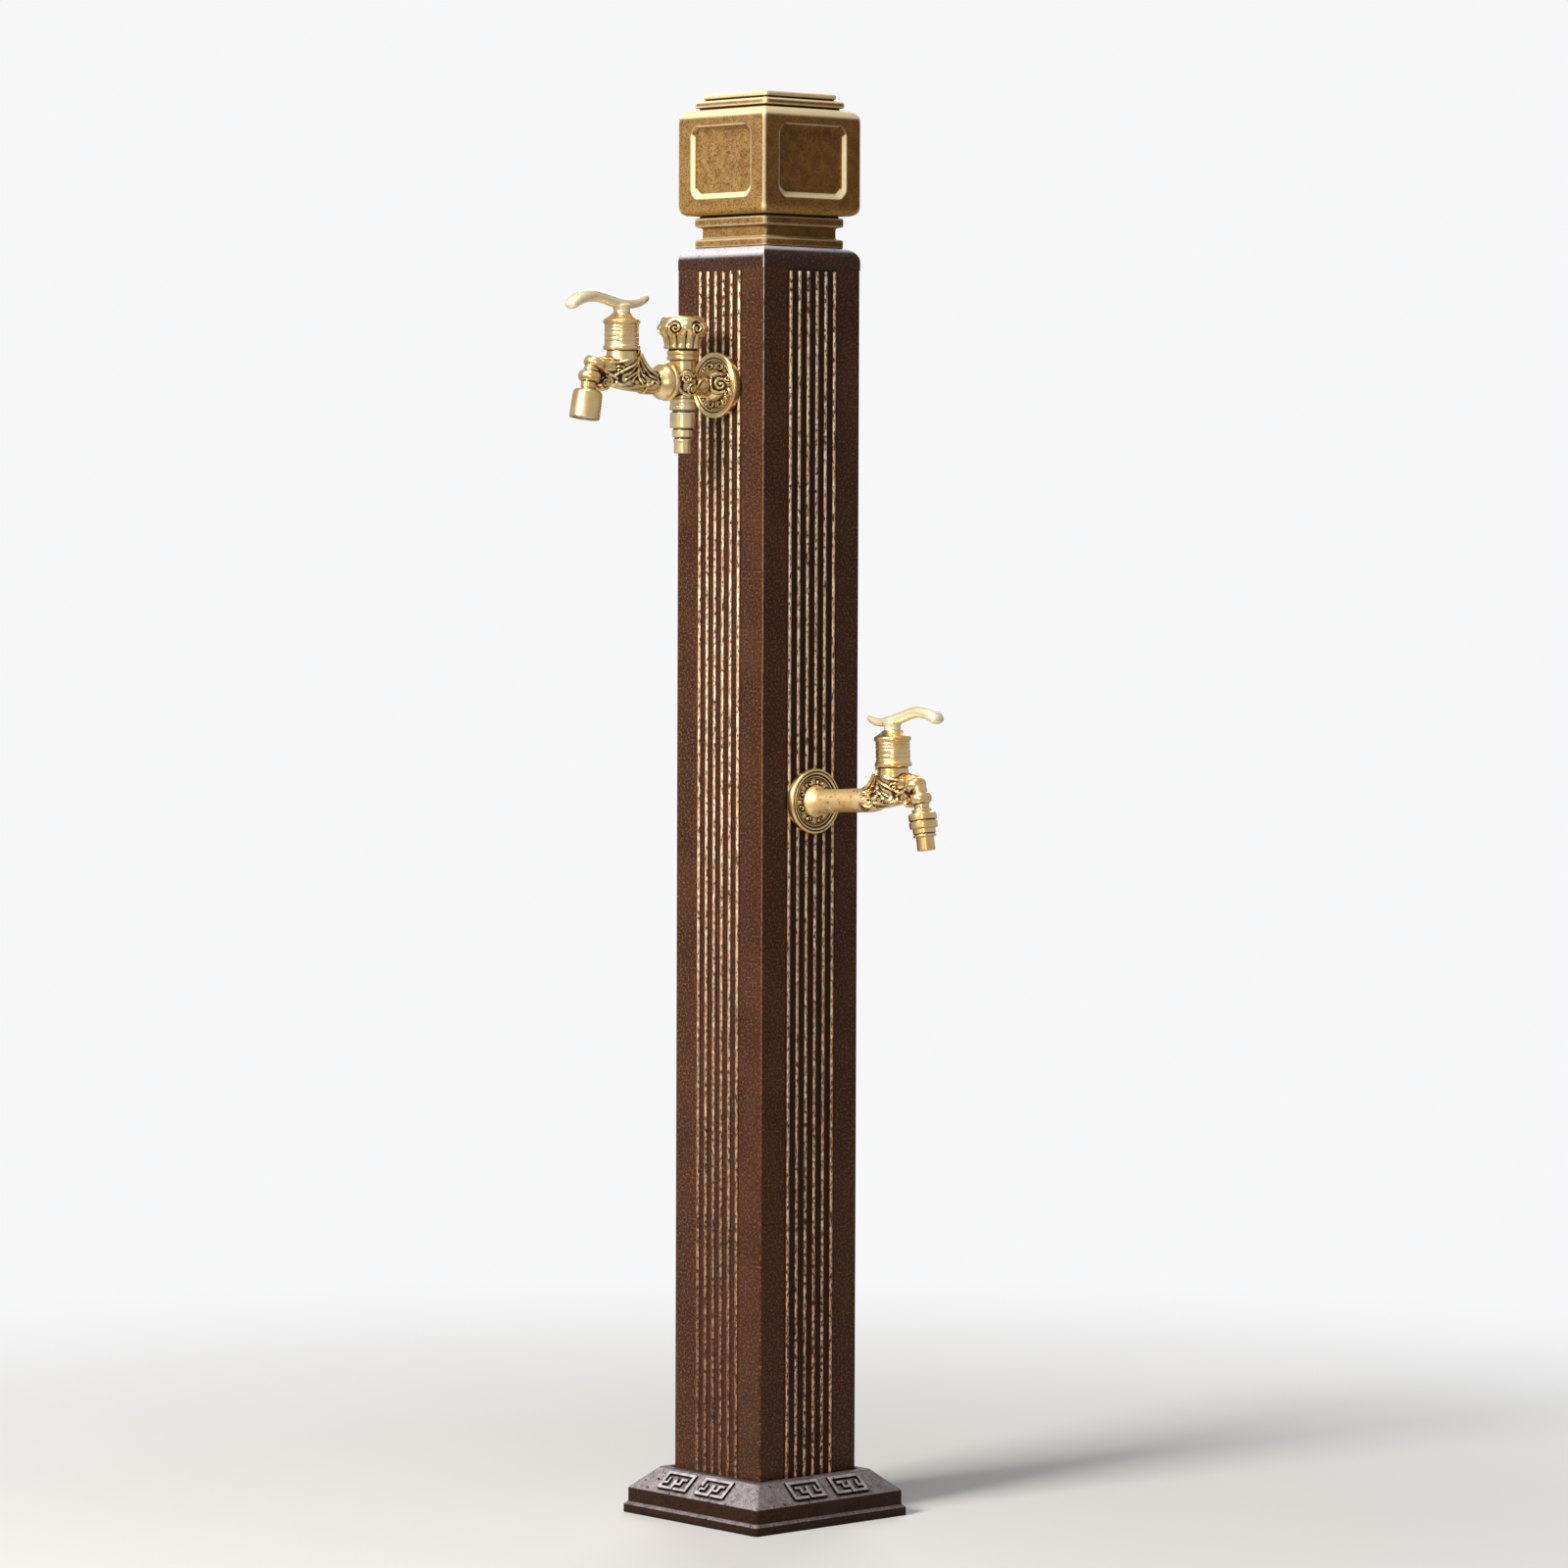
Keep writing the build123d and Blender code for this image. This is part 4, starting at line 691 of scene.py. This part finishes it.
def key_block(place, middle, hand):
    """One raised key block as a closed slab of square cells, laid on a slope."""
    xs, ys = (sorted({row[k] for row in KEY_STROKES for k in (side, side + 2)}) for side in (0, 1))
    filled = {
        (i, j) for i in range(len(xs) - 1) for j in range(len(ys) - 1)
        if any(left <= (xs[i] + xs[i + 1]) / 2 <= right and low <= (ys[j] + ys[j + 1]) / 2 <= high
               for left, low, right, high in KEY_STROKES)
    }
    corners, faces, known = [], [], {}

    def corner(i, j, level):
        if (i, j, level) not in known:
            known[i, j, level] = len(corners)
            x = hand * (middle + KEY_WIDTH * (xs[i] - 0.5))
            corners.append(place.at(x, KEY_HEIGHT * (ys[j] - 0.5), (-1, KEY_RELIEF)[level]))
        return known[i, j, level]

    for i, j in filled:
        square = [(i, j), (i + 1, j), (i + 1, j + 1), (i, j + 1)]
        faces.append([corner(*p, 1) for p in square])
        faces.append([corner(*p, 0) for p in square[::-1]])
        for k, (di, dj) in enumerate(((0, -1), (1, 0), (0, 1), (-1, 0))):
            if (i + di, j + dj) not in filled:
                a, b = square[k], square[(k + 1) % 4]
                faces.append([corner(*a, 0), corner(*b, 0), corner(*b, 1), corner(*a, 1)])
    if hand < 0:
        faces = [face[::-1] for face in faces]
    return corners, faces


def plinth():
    """The cast cover: foot lip with its bead, band, slopes with key blocks, ledge round the post."""
    foot, band, ledge, hole = 78.75, 76.2, 58, 52.2
    z_lip, z_band, z_top, wall = 6.2, 20, 35.8, 3.5
    bead = 1.2
    outer = soften([(foot, 0), (foot, z_lip), (band + bead, z_lip + bead), (band, z_lip + 2 * bead),
                    (band, z_band - 1), (band - 1.2, z_band + 0.4), (ledge + 0.6, z_top - 0.3),
                    (ledge - 0.6, z_top), (hole, z_top)], 1.4)
    inner = [(hole, z_top - wall), (ledge - wall, z_top - wall), (band - wall, z_band - wall / 2), (band - wall, 0)]
    body = squared(outer + inner, lambda half: 1.2 if half < 54 else 3, loop=True)
    keys = []
    run, rise = band - ledge, z_top - z_band
    for quarter, turn in enumerate(QUARTER_TURNS):
        middle = Vector(((band + ledge) / 2, 0, (z_band + z_top) / 2))
        slope = Place(turn @ middle, turn @ Vector((0, 1, 0)), turn @ Vector((rise, 0, run)))
        for shift in (-KEY_PITCH / 2, KEY_PITCH / 2):
            keys.append(key_block(slope, shift + KEY_SHIFT, (-1) ** quarter))
    rounding = ("BEVEL", {"width": 0.45, "segments": 2, "limit_method": "ANGLE"})
    key_mesh = applied(mesh_of("keys", keys), rounding)
    key_part = ([corner.co for corner in key_mesh.vertices], [face.vertices for face in key_mesh.polygons])
    mesh = mesh_of("plinth", [body, key_part])
    piece("plinth_casting", mesh, WORLD, "base_cover", body="cover", slot="plinth_paint", sharp=34)


# Tap pieces that are turned

def fine_outline(outline, ease, step):
    """A closed outline with eased corners and a point at every step."""
    return refine(soften(outline, ease, closed=True), step, closed=True)


def turned_piece(name, node, outline, place, along=0, material=None, ease=0.5):
    """A turned piece from a closed outline of (radius, height)."""
    mesh = mesh_of(name, [turned(fine_outline(outline, ease, 0.45), along, loop=True)])
    piece(name, mesh, place, node, material, rounds=16, sharp=50)


def lever_bonnet(name, node, place, along):
    """The ringed cover under a lever."""
    grooves = []
    for z, deep in ((43.6, 0.3), (41.2, 0.3), (38.6, 0.45), (34.6, 0.25), (31.2, 0.35)):
        grooves = [(13.1, z - 0.7), (13.1 - deep, z), (13.1, z + 0.7)] + grooves
    outline = [(10.6, 25), (13.4, 25), (14.1, 25.8), (14.1, 28), (13.1, 28.9)] + grooves
    outline += [(13.1, 44.6), (14.1, 45.2), (14.1, 47.4), (13, 48.4), (10.8, 49.8), (8.8, 51.2), (7.4, 52.8),
                (6.95, 52.8), (6.95, 48), (10.6, 45.5)]
    turned_piece(name, node, outline, place, along)


def turned_fittings(upper_mouth, lower_mouth):
    """The aerator's sleeve, the quick-connect nozzle, the shorter lower nozzle and the knob's ringed cover."""
    turned_piece("aerator_sleeve", "aerator_shell", [
        (6.2, 3.4), (7.4, 3.2), (9.8, 2), (10.9, 0.4), (11.3, -1.6), (11.55, -10), (11.6, -18.9), (11.3, -19.5),
        (10.1, -19.5), (9.3, -19.2), (9.3, -18), (10.1, -18), (10.1, 0), (6.2, 1.4),
    ], upper_mouth, ease=0.3)
    turned_piece("upper_nozzle_turned", "upper_hose_nozzle", [
        (7.4, -6.8), (7.4, -12.25), (9.33, -12.25), (9.33, -11.2), (9.7, -11.2), (9.7, -13.4), (9.3, -14),
        (9.3, -15.9), (10, -16.3), (10, -19.3), (7.8, -19.7), (7.8, -21.2), (9.6, -21.6), (9.6, -33),
        (7, -33.3), (7, -34.3), (7.8, -34.6), (7.8, -39.9), (6, -40.2), (6, -41.2), (6.9, -41.5),
        (6.9, -43.6), (6.5, -44.2), (6.5, -52.4), (4.6, -52.4), (4, -51.8), (4, -6.8),
    ], UPPER, KNOB_VALVE, PAINTED_LIT_NOZZLE_BRASS)
    turned_piece("lower_nozzle_turned", "lower_hose_nozzle", [
        (7.4, 4.4), (7.4, 1.4), (9.6, 1.4), (10.7, 0.6), (10.7, -4), (9.5, -4.2), (9.5, -4.8), (10.7, -5),
        (10.7, -10), (8.7, -10.4), (8.7, -14.2), (7.8, -14.4), (7.8, -15), (8.7, -15.2), (8.7, -16.6),
        (6.85, -17), (6.85, -27), (4.6, -27), (4, -26.4), (4, 4.4),
    ], lower_mouth)
    turned_piece("knob_cover_turned", "knob_bonnet", [
        (9.4, 18.5), (11.7, 18.5), (12, 19.2), (12, 21.2), (11.3, 21.8), (11.3, 22.5), (12, 23),
        (12, 25.3), (11.2, 26), (10.7, 26.4), (10.7, 31), (10, 31.5), (6.4, 31.5), (6.4, 29), (9.4, 29),
    ], UPPER, KNOB_VALVE)


def union_ball():
    """The ball-shaped union."""
    low, rise = 7.1, 1.8
    outline = [(50.6, low), (50.6, 10.6), (51.6, 12.6), (52.6, 14.2), (54.2, 14.7), (55.4, 14.2), (55.9, 13.5),
               (57, 13.9), (58.8, 13.9), (60.6, 13.2), (62.4, 11.9), (64, 10.2), (65.3, 9), (66.3, 8.7),
               (66.3, low)]
    mesh = mesh_of("union_ball", [turned_out(fine_outline(outline, 0.6, 0.6), loop=True)])
    piece("union_ball", mesh, UPPER.tipped(0, rise, 0), "union_nut", rounds=8, sharp=50)


# Rosettes

DOUBLE_RIM = (
    (4.6, 25.5), (6.3, 25.1), (7.2, 24.3), (7.3, 23.5), (6.85, 23.1), (6.85, 22.8), (7.2, 22.4), (7, 21.5),
    (5.6, 21.1), (5.6, 20.7), (6.4, 20.2), (6.2, 19.4), (4.6, 19), (4.2, 18.6),
)
WIDE_RIM = (
    (4, 25.5), (6, 25), (7, 24.2), (7.2, 23.4), (6.1, 22.9), (6.1, 22.5), (7.2, 22), (7.1, 21.2),
    (6.4, 20.7), (4.9, 20.4), (4.9, 19.8), (6.2, 19.3), (6, 18.7), (4.7, 18.4), (4.7, 17.9), (5.4, 17.5),
    (4.4, 17.1), (4, 16.5),
)


def rosette(name, node, place, rim, relief, pearls):
    """A cast wall flange: a rolled rim, a ring of pearls, and scrolls in its dish."""
    hole, pearl_r, pearl_count, pearl_size = 10.6, 18.3, 44, 1.1
    scrolls, scroll_r, scroll_reach, coil = 8, 14.7, 4.6, 2.7
    outline = [(1.4, hole), (1.4, 25.2), (2, 25.5), *rim, (4, 15), (4.6, 11.8), (4.6, hole)]
    mesh = mesh_of(name, [turned_out(fine_outline(outline, 0.6, 0.4), loop=True, count=360)])
    places, normals = surface(mesh)
    r, angle = np.hypot(places[:, 1], places[:, 2]), np.arctan2(places[:, 2], places[:, 1])
    front = (normals[:, 0] > 0.3) & (r < rim[-2][1]) & (places[:, 0] > 3.5)
    sector = 2 * pi / scrolls
    p, q = r - scroll_r, ((angle % sector) - sector / 2) * scroll_r
    d = np.hypot(p, q)
    curl = 0.5 + 0.5 * np.cos(2 * pi * d / coil - np.arctan2(q, p))
    rise = relief * curl * ramp(scroll_reach - d, 1.2) * ramp(rim[-1][1] + 0.4 - r, 0.8)
    pearl = (angle % (2 * pi / pearl_count)) - pi / pearl_count
    bead = np.clip(1 - ((r - pearl_r) ** 2 + (pearl * pearl_r) ** 2) / pearl_size, 0, 1) ** 0.5
    places[:, 0] += front * np.maximum(rise, pearls * bead)
    move_corners(mesh, places)
    piece(name, mesh, place, node, CARVED_BRASS, rounds=20)


# Cast tap bodies

def line_from(axis, *points):
    """A smooth line through points that are measured from a valve's axis."""
    return through([(axis + x, z) for x, z in points], 6)


def cast_piece(name, node, place, shapes, ridges, fields):
    """A casting of melted shapes, with ridges raised and fields sunk on both flanks, as bumps takes them."""
    mesh = melted(name, shapes, 0.42)
    places, normals = surface(mesh)
    flank, flat = ramp(np.abs(normals[:, 1]) - 0.12, 0.4), places[:, (0, 2)]
    rise = flank * (bumps(flat, ridges) - bumps(flat, fields))
    move_corners(mesh, places + normals * rise[:, None])
    piece(name, mesh, place, node, CARVED_BRASS, rounds=22)


def leaf_lines(valve):
    """The ridges and sunk fields of the leaf that wraps a lever body, about its valve's axis."""
    def line(*points):
        return line_from(valve, *points)

    ridges = [
        (line((-15, 24), (-9, 17.5), (-2, 13), (6, 9), (12, 5.5)), 1, 2.2),
        (line((-15.5, 25), (-19, 18.5), (-23, 12.5), (-29, 7.8), (-34, 6)), 1, 2.2),
        (line((-15, 19), (-18.5, 13), (-23.5, 7.5), (-29, 4)), 0.8, 1.9),
        (line((-14.6, 20), (-12.5, 14), (-9, 7), (-4, 1)), 0.8, 1.9),
        (line((-13.2, 16), (-16.5, 9.5), (-19.5, 3.5)), 0.7, 1.7),
        (line((-10.5, 10), (-13, 4), (-15, -1)), 0.7, 1.7),
        (line((-12.5, 15), (-7, 12), (-1, 8)), 0.7, 1.7),
        (line((-9.5, 8), (-3, 5.5), (3, 2.5)), 0.7, 1.7),
        (line((-30, 0.5), (-26, 2), (-22, -0.8), (-15, -2.2), (-6, -3), (2, -2.6), (10, 0)), 0.9, 1.7),
        (spiral(valve + 19.5, -0.5, 0.4, 4.4, 1.7, 60), 0.8, 1.8),
        (spiral(valve + 8, 9.5, 0.3, 3.2, 1.4, 200, -1), 0.7, 1.7),
        (line((1, 17.5), (9, 15.5), (16, 15)), 0.8, 1.2),
        (line((10, 3), (15, 6.5), (20, 8)), 0.8, 1.8),
    ]
    fields = [
        (line((-16.5, 14), (-14, 6), (-6, 3), (6, 4)), 5.5, 1.9),
        (line((-17, 15), (-22, 9), (-29, 4)), 4, 1.7),
        (line((-6, 11), (4, 7)), 3.5, 1.7),
        (line((13, 3), (22, 2)), 5, 1.5),
    ]
    return ridges, fields


def lever_body_shapes(valve, reach, drop, ring):
    """The shapes that melt into a lever body: hull, neck, leaf, volute, gooseneck and its collars."""
    def at(x, z):
        return (valve + x, 0, z)

    def bar(points, shares, radii, flat=1):
        line = through([at(x, z) for x, z in points], 6)
        return tube(line, np.interp(np.linspace(0, 1, len(line)), shares, radii), flat=flat)

    def collar(x, z, degrees, radius, half):
        k = radians(degrees)
        profile = ((-1, 0.78), (-0.8, 0.9), (-0.35, 0.985), (0, 1), (0.35, 0.985), (0.8, 0.9), (1, 0.78))
        line = [at(x + half * s * cos(k), z + half * s * sin(k)) for s, _ in profile]
        return tube(line, [radius * size for _, size in profile], 48)

    neck = [(10.2, -2), (11, 6), (11.4, 12), (12, 18), (11.6, 22), (11.2, 25)]
    goose = [(2, 9.5), (12, 12), (20, 13.2), (reach - 7.5, 12.8), (reach - 3.6, 9.5), (reach - 1.8, 4.5),
             (reach - 0.8, -1), (reach, -drop)]
    hull = [(-33, 0), (-21, 0.4), (-9, 1.6), (-1, 3), (7, 4.6), (13, 7)]
    back = [(-10, 16), (-14.6, 17.6), (-19.6, 12), (-26, 6.8), (-33, 4.2)]
    return [
        turned(neck, valve), bar(goose, (0, 0.3, 0.5, 1), (8, 7, 6, 5.8)),
        bar(hull, (0, 0.25, 0.6, 0.85, 1), (7, 7.3, 8.2, 8.2, 7)),
        bar([(-2, 6), (-9, 12), (-12.8, 18), (-15.3, 25)], (0, 0.4, 0.8, 1), (9, 7.2, 3.6, 1.1), 0.85),
        bar(back, (0, 0.25, 0.5, 0.75, 1), (4.5, 5.2, 6.2, 6.2, 5.6), 0.8),
        rounded(at(-3, 7), (14.5, 9.6, 9)), rounded(at(6, 13), (10.5, 8.6, 7.5)),
        rounded(at(19.5, 0), (6.2, 5.6, 6.4)), rounded(at(12, 4), (9, 7, 6)),
        collar(reach - 6.8, ring + 10.4, -60, 8.6, 3.6), collar(reach - 2.2, ring + 0.6, -79, 9.1, 3.9),
    ]


def upper_lever_body():
    """The second body of the double tap. Gives the frame of its spout's mouth."""
    reach, drop = 33.3, 8
    shapes = lever_body_shapes(UPPER_VALVE, reach, drop, 3.8)
    shapes.append(turned_out([(57, 9.1), (60, 9.1), (60, 6.9), (64, 7), (70, 8.2), (80, 8)]))
    cast_piece("upper_lever_cast", "upper_lever_body", UPPER, shapes, *leaf_lines(UPPER_VALVE))
    return UPPER.tipped(UPPER_VALVE + reach, -drop, 10)


def lower_body():
    """The lower tap: flared hub, climbing pipe, carved body. Gives the frame of its spout's mouth."""
    reach, drop = 30.5, 11.5
    shapes = lever_body_shapes(LOWER_VALVE, reach, drop, 0)
    for hand in (-1, 1):
        shapes.append(rounded((LOWER_VALVE - 24, hand * 2.6, 3.4), (8, 7.6, 5.4)))
        shapes.append(rounded((LOWER_VALVE - 24.5, hand * 2.6, -4), (8.6, 7.2, 4.8)))
    ridges, fields = leaf_lines(LOWER_VALVE)
    ridges.append((line_from(LOWER_VALVE, (-33, -5.5), (-29.5, -2.4), (-25, -3.4), (-19, -5.2)), 0.9, 1.6))
    fields.append((line_from(LOWER_VALVE, (-29, 0.4), (-24, -0.4), (-19, -1.6)), 1.6, 1.7))
    cast_piece("lower_lever_cast", "lower_tap_body", LOWER_NOSE, shapes, ridges, fields)
    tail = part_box("lower_tap_body")[0][0] / MM - POST_HALF
    hub = [(tail, 6.5), (tail, 10.4), (4.4, 10.4), (4.4, 12.4), (6, 12.6), (8, 12), (11, 10), (15, 8.9),
           (20, 8.5), (30, 8.4), (30, 4.5), (5, 4.5), (4, 6.5)]
    pipe = [(14, 8.5), (18, 8.7), (40, 8.9), (LOWER_VALVE - 28, 9.4), (LOWER_VALVE - 22, 9),
            (LOWER_VALVE - 22, 4.5), (14, 4.5)]
    for name, outline, place, ease, rounds in (
        ("lower_hub", hub, LOWER, 0.8, 6), ("lower_pipe", pipe, LOWER_NOSE, 1, 4),
    ):
        mesh = mesh_of(name, [turned_out(fine_outline(outline, ease, 0.8), loop=True)])
        piece(name, mesh, place, "lower_tap_body", MATT_BRASS, rounds=rounds, sharp=50)
    return LOWER_NOSE.tipped(LOWER_VALVE + reach, -drop, 8)


def first_body():
    """The first body of the double tap: threaded shank, carved dome, ball and spigot."""
    tail = -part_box("upper_tap_body")[1][1] / MM - POST_HALF
    centre = KNOB_VALVE
    shapes = [
        turned_out([(tail, 10.3), (4.4, 10.4), (4.5, 12.2), (7, 12.4), (10, 11.2), (13.5, 8.8), (16, 8),
                    (30, 8.4), (centre, 9.4), (55.4, 9.4)]),
        rounded((centre, 0, 0), (12.2, 11.8, 10)),
        turned([(9.2, -11.25), (9.3, -4), (11, 0), (10.6, 6), (9.8, 11), (9.8, 18.5)], centre),
        rounded((centre - 11, 0, 1), (7.5, 8.2, 8)),
    ]
    ridges = [
        (spiral(9, 0.5, 0.4, 8.6, 2.3, 20), 0.9, 1.7),
        (spiral(centre - 2, -3.5, 0.4, 4.6, 1.6, 160, -1), 0.9, 1.3),
        (spiral(centre + 4, 4.5, 0.4, 4, 1.5, 10), 0.9, 1.2),
        (line_from(centre, (-16, 6), (-11, 1.5), (-7, -5)), 0.9, 1.2),
        (line_from(centre, (-9, 9), (-3, 6.5), (3, 9.5), (9, 6)), 0.9, 1.2),
        (line_from(centre, (-10, -6), (-3, -8.5), (5, -7), (10, -3)), 0.9, 1.2),
    ]
    fields = [(through([(6, 0), (12, 0)], 4), 6, 1.1), (through([(centre - 10, 0), (centre + 8, 0)], 4), 6.5, 1.7)]
    cast_piece("first_body_cast", "upper_tap_body", UPPER, shapes, ridges, fields)


# Handles

# A lever's middle line outwards and up from its valve on the tap's axis, its half width and its half thickness
LEVER_LINE = (
    (-25.5, 65.6, 2.2, 2.1), (-23.5, 64.4, 3, 2.9), (-18, 61.8, 3.9, 3.5), (-10, 60.2, 4.8, 3.7),
    (0, 60.3, 5.8, 4), (8, 61.4, 5.2, 4.3), (16, 63.2, 4.8, 4.3), (24, 64.9, 5.1, 4.4),
    (32, 65.1, 5.8, 4.8), (40, 63.5, 6.4, 4.9), (46, 60.9, 6.6, 4.7), (49.8, 58.2, 6, 4.2),
    (51.5, 56.7, 4.4, 3), (52.3, 55.9, 2, 1.4),
)


def lever(node, place, along, paddle_rise=0, tail_drop=0):
    """A swan-necked lever on its hub, its paddle raised and its tail dropped a little against the line."""
    name, paddle, tail = node + "_arm", 50, 25
    line = through([(x, z + (paddle_rise * x / paddle if x > 0 else tail_drop * x / tail), half, thick)
                    for x, z, half, thick in LEVER_LINE], 5)
    rings = []
    for k, (x, z, half, thick) in enumerate(line):
        ahead = Vector(line[min(k + 1, len(line) - 1)][:2]) - Vector(line[max(k - 1, 0)][:2])
        over = Vector((-ahead.y, ahead.x)).normalized()
        round_points = [(half * cos(a), thick * sin(a)) for a in whole_turn(40)]
        rings.append([(along + x + over.x * crown, side, z + over.y * crown) for side, crown in round_points])
    hub = [(6.3, 41), (6.4, 49), (6.9, 51.5), (6.5, 53), (6.2, 55), (6.6, 56.6), (8.2, 58.8), (5, 60.8)]
    mesh = melted(name, [skin(rings), turned(hub, along)], 0.36, 12)
    piece(name, mesh, place, node, PAINTED_LIT_LEVER_BRASS, node + "_set", rounds=10)


def flower_knob():
    """The blossom knob: flat polished top, curled petals, fluted calyx."""
    petals, flutes = 6, 12
    lobe_depth, lobe_drop, flute_depth = 2, 1.6, 1.9
    curl_r, curl_z, curl_reach, coil, relief = 16.5, 42.5, 6.4, 2.8, 1.9
    outline = [(0.2, 51.8), (6, 52), (13.2, 51.8), (15.6, 51), (16.8, 49.4), (17.6, 47.6), (18.9, 45.8),
               (19.6, 43.8), (19.4, 41.4), (18.3, 39.2), (16.7, 37.4), (15.4, 36.2), (14.7, 33.6), (14.1, 30.6),
               (14.5, 27.6), (13.6, 27), (11.6, 27.6), (11.4, 31.6), (8, 32.2), (6, 32.2), (6, 27.9),
               (3.3, 27.9), (3.3, 44), (0.2, 44.2)]
    rings = []
    for r, z in refine(soften(outline, 1), 0.45):
        ring = []
        lobed = ramp(r - 12.8, 3) * ramp(z - 38, 4) * ramp(49.6 - z, 2.5)
        fluted = ramp(r - 11.8, 1.5) * ramp(42 - z, 3)
        for a in whole_turn(240):
            wave, flute = abs(cos(petals * a / 2)), abs(sin(flutes * a / 2))
            size = r - lobed * lobe_depth * (1 - wave) - fluted * flute_depth * (1 - flute ** 0.7)
            ring.append((KNOB_VALVE + size * cos(a), size * sin(a), z - lobed * lobe_drop * (1 - wave)))
        rings.append(ring)
    mesh = mesh_of("flower_knob_cast", [skin(rings)])
    places, normals = surface(mesh)
    away = places - np.array((KNOB_VALVE, 0, curl_z))
    r, angle = np.hypot(away[:, 0], away[:, 1]), np.arctan2(away[:, 1], away[:, 0])
    rim = ramp(r - 13, 2) * ramp(places[:, 2] - 36, 3)
    along = ((angle % (2 * pi / petals)) - pi / petals) * curl_r
    d = np.hypot(along, away[:, 2])
    curl = 0.5 + 0.5 * np.cos(2 * pi * d / coil - np.arctan2(away[:, 2], along))
    move_corners(mesh, places + normals * (rim * ramp(curl_reach - d, 2) * (curl - 0.55) * relief)[:, None])
    piece("flower_knob_cast", mesh, UPPER, "flower_knob", CARVED_BRASS, "knob_set", rounds=20)


# Camera, light and floor

def camera():
    """The photograph's camera: far off, a little raised, its long lens tipped slightly down."""
    distance, azimuth, height, focal, photo = 4.6063, 0.841563, 0.77062, 6073, 1600
    swing, tilt, roll = -0.002835, 0.043885, 0.003669
    data = bpy.data.cameras.new("photo_camera")
    data.lens = focal / photo * data.sensor_width
    data.clip_end = 50
    eye = linked("photo_camera", data)
    aim = azimuth + swing
    back = Vector((sin(aim) * cos(tilt), -cos(aim) * cos(tilt), sin(tilt)))
    right = Vector((cos(aim), sin(aim), 0))
    up = back.cross(right)
    right, up = right * cos(roll) + up * sin(roll), up * cos(roll) - right * sin(roll)
    place = Vector((sin(azimuth) * distance, -cos(azimuth) * distance, height))
    eye.matrix_world = Matrix.Translation(place) @ Matrix((right, up, back)).transposed().to_4x4()
    bpy.context.scene.camera = eye


# Each lamp's name, place, size, power and colour
LAMPS = (
    ("main_lamp", (0.20, -3.3, 2.5), (1.1, 1.1), 180, (1, 0.97, 0.92)),
    ("front_lamp", (2.9, -3.2, 0.74), (0.6, 1.1), 15, (1, 0.98, 0.95)),
    ("top_lamp", (0.5, -0.9, 3.6), (1.4, 1.4), 26, (1, 0.99, 0.97)),
    ("back_lamp", (-2.4, 2.6, 2.6), (1.8, 1.8), 40, (1, 0.98, 0.95)),
)


def studio():
    """A pale floor that fades into a pale surround, and soft lamps that face the post, the main one at the left."""
    pale, post_middle = (0.93, 0.93, 0.94), Vector((0, 0, 0.6))
    look = Finish("studio_floor", Roughness=0.8)
    look.into("Base Color", look.blend(look.noise(3, 3), (0.74, 0.73, 0.72), (0.78, 0.77, 0.76)))
    path = look.add("ShaderNodeLightPath").outputs
    away = look.add("ShaderNodeVectorMath", {0: look.where}, operation="LENGTH").outputs["Value"]
    seen = look.most(*(path[f"Is {kind} Ray"] for kind in ("Camera", "Glossy", "Transmission")))
    far = look.times(look.grade(away, 0.25, 1.5), seen)
    level = look.grade(path["Is Camera Ray"], 0, 1, 0.40, 1)
    glow = look.add("ShaderNodeEmission", {"Color": pale, "Strength": level}).outputs[0]
    mixed = look.add("ShaderNodeMixShader", {0: far, 1: look.shader.outputs[0], 2: glow}).outputs[0]
    look.put(look.tree.nodes["Material Output"].inputs["Surface"], mixed)
    corners = [(-60, -60, 0), (60, -60, 0), (60, 60, 0), (-60, 60, 0)]
    floor = linked("studio_floor", mesh_of("studio_floor", [(corners, [(0, 1, 2, 3)])]))
    floor.data.materials.append(look.owner)
    floor.location.z = -0.0002
    for name, place, size, power, colour in LAMPS:
        data = bpy.data.lights.new(name, "AREA")
        data.shape, data.energy, data.color = "RECTANGLE", power, colour
        data.size, data.size_y = size
        made = linked(name, data)
        made.location = place
        made.rotation_euler = (post_middle - Vector(place)).to_track_quat("-Z", "Y").to_euler()
        made.visible_camera = False
    world = bpy.data.worlds.new("studio_surround")
    surround = Nodes(world)
    path = surround.add("ShaderNodeLightPath").outputs
    mirrored = surround.add("ShaderNodeMapRange", {"Value": path["Is Glossy Ray"], "To Min": 0.09, "To Max": 0.50})
    background = world.node_tree.nodes["Background"].inputs
    surround.put(background["Color"], pale)
    surround.put(background["Strength"], surround.most(mirrored.outputs[0], path["Is Camera Ray"]))
    bpy.context.scene.world = world
    bpy.context.scene.view_settings.view_transform = "Standard"


camera()
studio()
cap()
plinth()
rosette("upper_rosette_cast", "upper_rosette", UPPER, DOUBLE_RIM, 1.9, 0.9)
rosette("lower_rosette_cast", "lower_rosette", LOWER, WIDE_RIM, 2.2, 0)
first_body()
union_ball()
turned_fittings(upper_lever_body(), lower_body())
flower_knob()
lever_bonnet("upper_bonnet_turned", "upper_lever_bonnet", UPPER, UPPER_VALVE)
lever_bonnet("lower_bonnet_turned", "lower_lever_bonnet", LOWER_NOSE, LOWER_VALVE)
lever("upper_lever", UPPER, UPPER_VALVE)
lever("lower_lever", LOWER_NOSE, LOWER_VALVE, 1.8, 2.4)
